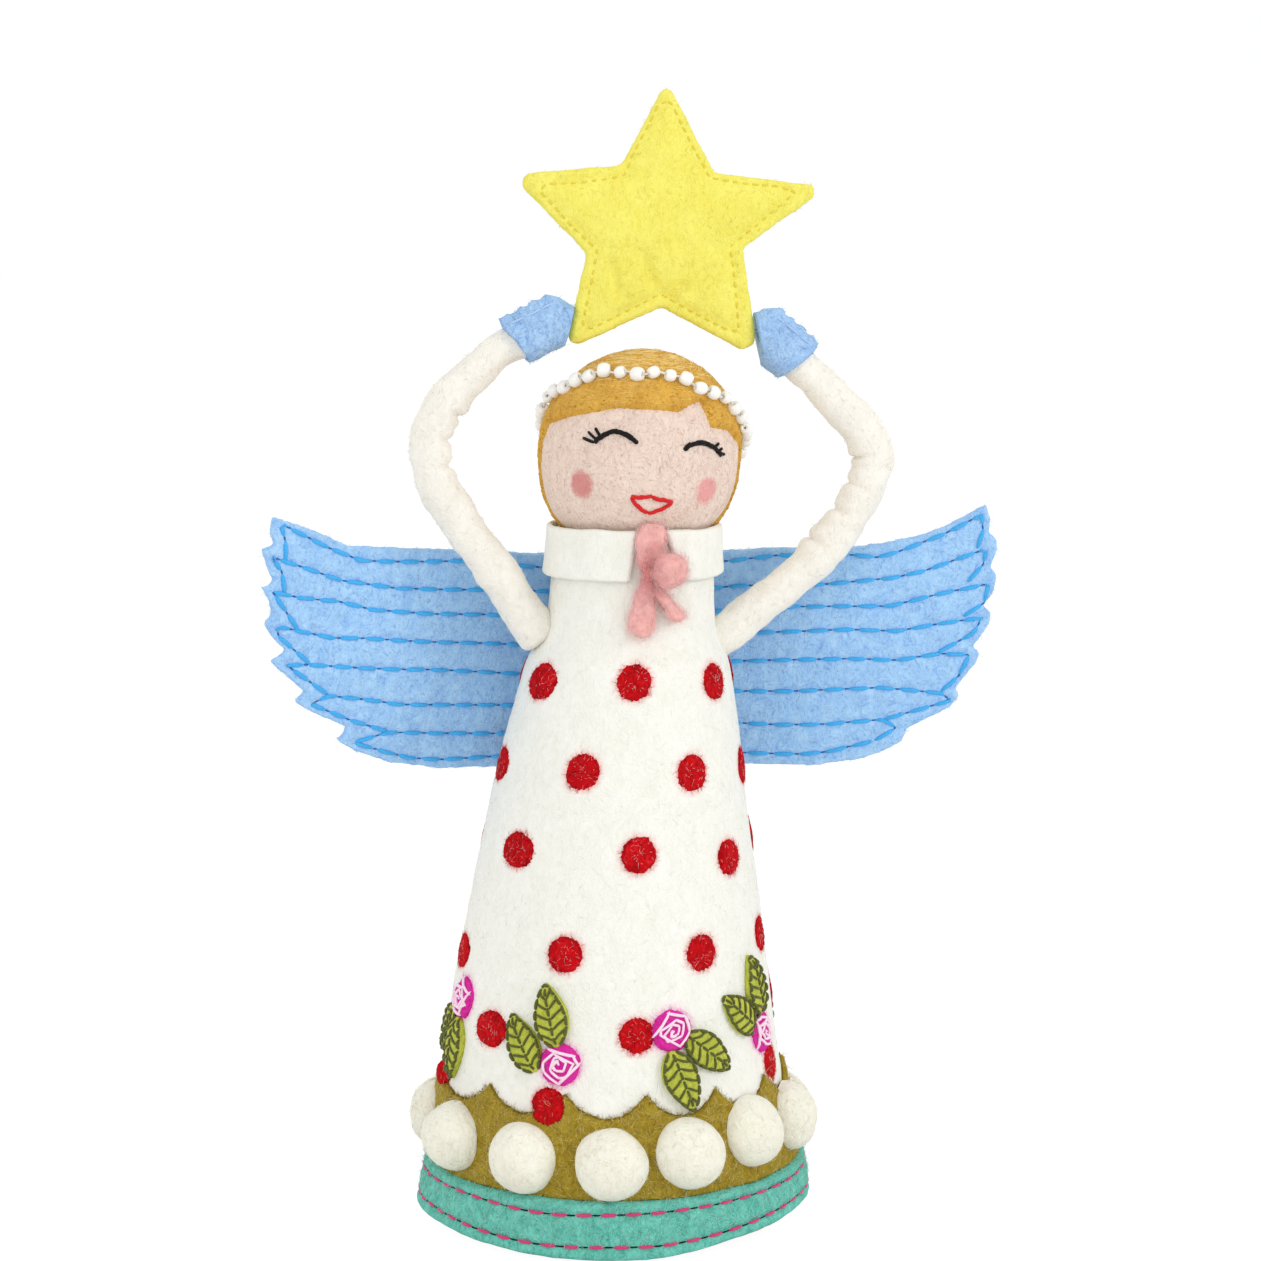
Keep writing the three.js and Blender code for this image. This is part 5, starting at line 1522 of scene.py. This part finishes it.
def slab(outline, thickness, cell):
    """Evenly meshed felt of an outline: a flat plate, remeshed in small cells."""
    bm = bmesh.new()
    face = bm.faces.new([bm.verts.new((x, y, -thickness / 2)) for x, y in outline])
    top = bmesh.ops.extrude_face_region(bm, geom=[face])["geom"]
    lifted = [corner for corner in top if isinstance(corner, bmesh.types.BMVert)]
    bmesh.ops.translate(bm, verts=lifted, vec=(0, 0, thickness))
    bmesh.ops.recalc_face_normals(bm, faces=bm.faces)
    mesh = bpy.data.meshes.new("plate")
    bm.to_mesh(mesh)
    bm.free()
    plate = bpy.data.objects.new("plate", mesh)
    bpy.context.collection.objects.link(plate)
    remesh = plate.modifiers.new("cells", "REMESH")
    remesh.mode = "VOXEL"
    remesh.voxel_size = cell
    depsgraph = bpy.context.evaluated_depsgraph_get()
    fine = plate.evaluated_get(depsgraph).to_mesh()
    bm = bmesh.new()
    bm.from_mesh(fine)
    plate.evaluated_get(depsgraph).to_mesh_clear()
    bpy.data.objects.remove(plate)
    soften(bm, 2)
    return bm


def from_lines(spots, lines):
    """Distance of each spot from the nearest of many straight pieces."""
    best = np.full(len(spots), 1e9)
    for line in lines:
        for (ax, ay), (bx, by) in zip(line, line[1:]):
            way = np.array((bx - ax, by - ay))
            share = np.clip(((spots - (ax, ay)) @ way) / (way @ way), 0, 1)
            best = np.minimum(best, np.linalg.norm(spots - (ax, ay) - share[:, None] * way, axis=1))
    return best


def swell(bm, sewn_down):
    """Where a pinned shape's points come to when its filling blows it up, as cloth."""
    mesh = bpy.data.meshes.new("cushion")
    bm.to_mesh(mesh)
    mesh.transform(Matrix.Scale(CLOTH_SCALE, 4))
    cushion = bpy.data.objects.new("cushion", mesh)
    bpy.context.collection.objects.link(cushion)
    sewn = cushion.vertex_groups.new(name="sewn")
    for k in np.nonzero(sewn_down)[0]:
        sewn.add([int(k)], 1.0, "REPLACE")
    cloth = cushion.modifiers.new("cloth", "CLOTH")
    cloth.settings.quality = 6
    cloth.settings.mass = 0.3
    cloth.settings.tension_stiffness = 12
    cloth.settings.compression_stiffness = 12
    cloth.settings.shear_stiffness = 6
    cloth.settings.bending_stiffness = 1.2
    cloth.settings.use_pressure = True
    cloth.settings.uniform_pressure_force = 5.0
    cloth.settings.vertex_group_mass = "sewn"
    cloth.settings.effector_weights.gravity = 0
    cloth.point_cache.frame_end = CLOTH_FRAMES
    scene = bpy.context.scene
    for number in range(1, CLOTH_FRAMES + 1):
        scene.frame_set(number)
    depsgraph = bpy.context.evaluated_depsgraph_get()
    blown = cushion.evaluated_get(depsgraph).to_mesh()
    result = [vert.co / CLOTH_SCALE for vert in blown.vertices]
    cushion.evaluated_get(depsgraph).to_mesh_clear()
    bpy.data.objects.remove(cushion)
    scene.frame_set(1)
    return result


def make_star():
    """Two stars of felt sewn inside the edge and filled with wool."""
    bm = slab(STAR_OUTLINE, 2 * STAR_FELT_THICKNESS, STAR_CELL)
    inside = np.array([-beside(STAR_SEAM, vert.co.x, vert.co.y) for vert in bm.verts])
    for vert, depth in zip(bm.verts, inside):
        vert.co.z += math.copysign(1.2 * smoothstep(0, 8, depth), vert.co.z)
    flat = [vert.co.copy() for vert in bm.verts]
    filled = swell(bm, inside < 0.2)
    folds = from_lines(np.array([vert.co[:2] for vert in bm.verts]), STAR_FOLDS)
    for vert, spot, goal, depth, fold in zip(bm.verts, flat, filled, inside, folds):
        move = goal - spot
        vert.co = spot + move * min(1, MOST_SWELL / max(move.length, 1e-6))
        height = min(abs(vert.co.z), STAR_HALF) - SEAM_DEPTH * math.exp(-(depth / SEAM_WIDTH) ** 2)
        if vert.co.z > 0:
            height -= FOLD_DEPTH * math.exp(-(fold / FOLD_WIDTH) ** 2)
        vert.co = STAR_CENTRE + Vector((vert.co.x, -math.copysign(height, vert.co.z), vert.co.y))
    roughen(bm, 6, 0.25, 90)
    roughen(bm, 1.8, 0.12, 91)
    surface = BVHTree.FromBMesh(bm)
    places = scatter(bm, 1900, 18)
    star = piece("felt_star", bm, STAR_FELT, "star", "star_felt", ["star_front", "star_back", "star_filling"])
    finer = star.modifiers.new("smooth", "SUBSURF")
    finer.levels = finer.render_levels = 1
    fuzz("star_fuzz", places, STAR_FELT, "star", "star_felt", 1.4, 0.28, 0.035)
    seam = []
    path, _ = spaced([Vector((x, y, 0)) for x, y in STAR_SEAM + STAR_SEAM[:1]], 0.5)
    for facing in (-1, 1):
        over = [STAR_CENTRE + Vector((spot.x, facing * 20, spot.y)) for spot in path]
        line = [surface.ray_cast(spot, Vector((0, -facing, 0)))[0] for spot in over]
        running_stitch(seam, line, 1.7, 0.7, 0.25, lambda point, facing=facing: Vector((0, facing, 0)))
    piece("star_seam", tubes(seam), YELLOW_THREAD, "star", "yellow_thread")


# Wings, out and up from the foot of the seam: the felt as it was cut, and its rows of stitches, top row first
WING_OUTLINES = {
    "left": ((0, 0), (22, 0.6), (34, 1.2), (47.1, 3.7), (55, 6.7), (60.5, 9.6), (58, 12.9), (66.6, 16.8),
             (72.6, 20), (70.1, 22.4), (76.9, 27.9), (80, 30.6), (75.6, 32.4), (80, 36.2), (82.4, 39.8),
             (80.6, 41.6), (81.6, 45), (83.8, 48.4), (80.9, 49.5), (82.6, 52.6), (84.7, 57.6), (81.6, 58.5),
             (83, 62), (82.6, 65.5), (71.7, 61.5), (63.3, 57.6), (48.1, 56.2), (34.7, 55.3), (14.5, 53.4),
             (0, 53)),
    "right": ((2, 0), (22, -0.2), (44.5, -0.3), (56, 1.4), (61.7, 3.6), (65.8, 6.2), (66.8, 9.4),
              (76.5, 14.9), (78.8, 17.8), (77.4, 19.5), (81.9, 26.1), (82.7, 28.4), (80.8, 30.1),
              (84, 35.2), (84.8, 38.4), (82.6, 40.4), (84.9, 44), (85.6, 48.1), (83.7, 49.5), (85.2, 54.1),
              (84.8, 57.2), (83, 58.4), (83.3, 62), (81.9, 65.3), (72.4, 59.9), (66.8, 57.7), (58.3, 55.7),
              (49.7, 54.6), (32.5, 54.2), (14.5, 53.2), (0, 53)),
}
FEATHER_ROWS = {
    "left": (
        ((3, 49.3), (14.2, 50.3), (34.5, 52.9), (49.1, 53.2), (59.9, 54), (68.9, 57.8), (80.8, 64),
         (79.2, 59.5), (78.9, 54.5)),
        ((3, 43.5), (29.3, 45.5), (50.4, 46.9), (64.4, 49.4), (74.7, 53.3), (82.4, 56.1), (79.5, 52.3),
         (78.2, 46.6)),
        ((3, 37), (26.1, 39.1), (41.6, 40.3), (56.3, 42), (64.6, 44.3), (74, 45.7), (81.4, 47.7),
         (78.9, 44.4), (73.7, 37.6)),
        ((3, 30), (17.5, 31.2), (40.9, 33.3), (56.3, 35), (65.1, 35.5), (72.7, 37.4), (79.7, 39.3),
         (78.6, 36.6), (69.9, 29.4)),
        ((3, 23), (18, 24), (38.3, 26.2), (55, 27.5), (69.9, 29.3), (76, 29.6), (64.5, 21.6)),
        ((3, 15.3), (19.9, 16.2), (46.5, 18.1), (54.9, 19.8), (64.5, 21.4), (68.6, 19.6), (58.3, 15),
         (47.8, 11.3)),
        ((3, 8.3), (21.8, 9.1), (47.8, 11.2), (56.4, 9.4)),
        ((3, 2.9), (22.5, 3.2), (32.9, 3.4), (41.3, 4.3), (48.6, 6.5), (56.4, 9.2))),
    "right": (
        ((3, 49.3), (21.9, 51.2), (32.7, 52.6), (51.8, 53), (56.6, 52.4), (61.4, 53.7), (72.3, 58.2),
         (81.2, 63.2), (81.7, 59.1), (80.4, 54.5)),
        ((3, 43), (24.6, 45), (45, 45.7), (60.9, 47.3), (67.9, 49), (82.7, 54.7), (82.1, 50.8), (78.4, 46.2)),
        ((3, 37.5), (37.3, 40), (60.5, 40.2), (73, 43.7), (83.6, 46), (82.9, 41.3), (77.8, 37.8)),
        ((3, 31), (30.8, 33.4), (49.6, 34.3), (62.5, 34), (73.5, 36.2), (82.6, 37.7), (80.9, 33.8),
         (72.5, 28.7)),
        ((3, 25), (24.4, 26), (51.8, 27), (63, 26.7), (73.3, 28.5), (80.3, 28.3), (78.1, 22.8), (74, 18.9)),
        ((3, 18.4), (37.9, 18.5), (59.5, 19.7), (74.1, 18.6), (76.8, 16.8), (70.4, 14.7), (60.9, 11.6)),
        ((3, 11), (36, 10), (47.3, 10.2), (60.9, 11.6), (64.1, 9.5), (58.9, 6.1)),
        ((3, 3), (41.4, 2.6), (47.8, 3.2), (58.9, 6.1))),
}
WING_THICKNESS = 2.5
WING_CELL = 0.62
WING_WARP = 0.9
WING_FRAY = 0.16
ROW_DEPTH = 0.5
ROW_WIDTH = 0.8
WING_FOOT = 103
WING_ROOT_RADIUS = 30.354
WING_TILT = math.radians(9.673)
WING_FROM_BACK = math.radians(15)


def make_wing(name, side):
    outward = Vector((side * math.cos(WING_FROM_BACK), -math.sin(WING_FROM_BACK), 0))
    back = Vector((side * math.sin(WING_FROM_BACK), math.cos(WING_FROM_BACK), 0))
    up = -math.sin(WING_TILT) * back + Vector((0, 0, math.cos(WING_TILT)))
    normal = math.cos(WING_TILT) * back + Vector((0, 0, math.sin(WING_TILT)))
    foot = WING_ROOT_RADIUS * back + Vector((0, 0, WING_FOOT)) + normal * (WING_THICKNESS / 2)
    def on_wing(s, t, off):
        free = smoothstep(8, 50, s)
        warp = WING_WARP * free * noise.noise(Vector((s / 26, t / 22, 3 * side)))
        return foot + outward * s + up * t + normal * (off + warp)
    outline, rows = WING_OUTLINES[name], FEATHER_ROWS[name]
    bm = slab(outline, WING_THICKNESS, WING_CELL)
    spots = np.array([vert.co[:2] for vert in bm.verts])
    near = from_lines(spots, rows)
    for vert, gap in zip(bm.verts, near):
        s, t, w = vert.co
        fray = WING_FRAY * noise.noise(Vector((s * 0.7, t * 0.7, side)))
        off = w * (1 + 0.12 * noise.noise(Vector((s / 4, t / 4, side))))
        off -= math.copysign(ROW_DEPTH * math.exp(-(gap / ROW_WIDTH) ** 2), w)
        vert.co = on_wing(s + fray, t + fray, off)
    roughen(bm, 2.4, 0.12, 95)
    places = scatter(bm, 4200, 19)
    surface = BVHTree.FromBMesh(bm)
    wing = piece(f"felt_wing_{name}", bm, BLUE_FELT, f"wing_{name}", "blue_felt", [f"wing_{name}"])
    over, under = [], []
    for facing in (-1, 1):
        def off_felt(_, facing=facing):
            return normal * facing
        for row in rows:
            points, _ = spaced([Vector((s, t, 0)) for s, t in row], 0.6)
            line = pressed_on(surface, [on_wing(point.x, point.y, 0) for point in points], off_felt)
            running_stitch(over, line, 5.5, 0.65, 0.5, off_felt, under)
    piece(f"wing_stitches_{name}", tubes(over), BLUE_THREAD, f"wing_{name}", "blue_thread")
    # Painted shade: dark strands in the gaps between the stitches, where the thread dips into the felt
    piece(f"wing_stitch_gaps_{name}", tubes(under), SHADOW_THREAD, f"wing_{name}", "blue_thread")
    fuzz(f"wing_fuzz_{name}", places, LOOSE_BLUE, f"wing_{name}", "blue_felt", 1.8, 0.25, 0.045)


stand_camera()
lay_floor()
light_room()
make_dress()
make_band()
make_edge()
make_balls()
make_dots()
make_sprays()
make_head()
make_hair()
make_circlet()
make_collar()
make_bow()
for side_name, side_sign in (("left", -1), ("right", 1)):
    make_arm(side_name)
    make_mitt(side_name)
    make_wing(side_name, side_sign)
make_star()

for node_name, finish in (("cone_lining", CARD), ("arm_wire", STEEL)):
    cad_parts[node_name].data.materials.clear()
    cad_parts[node_name].data.materials.append(finish)
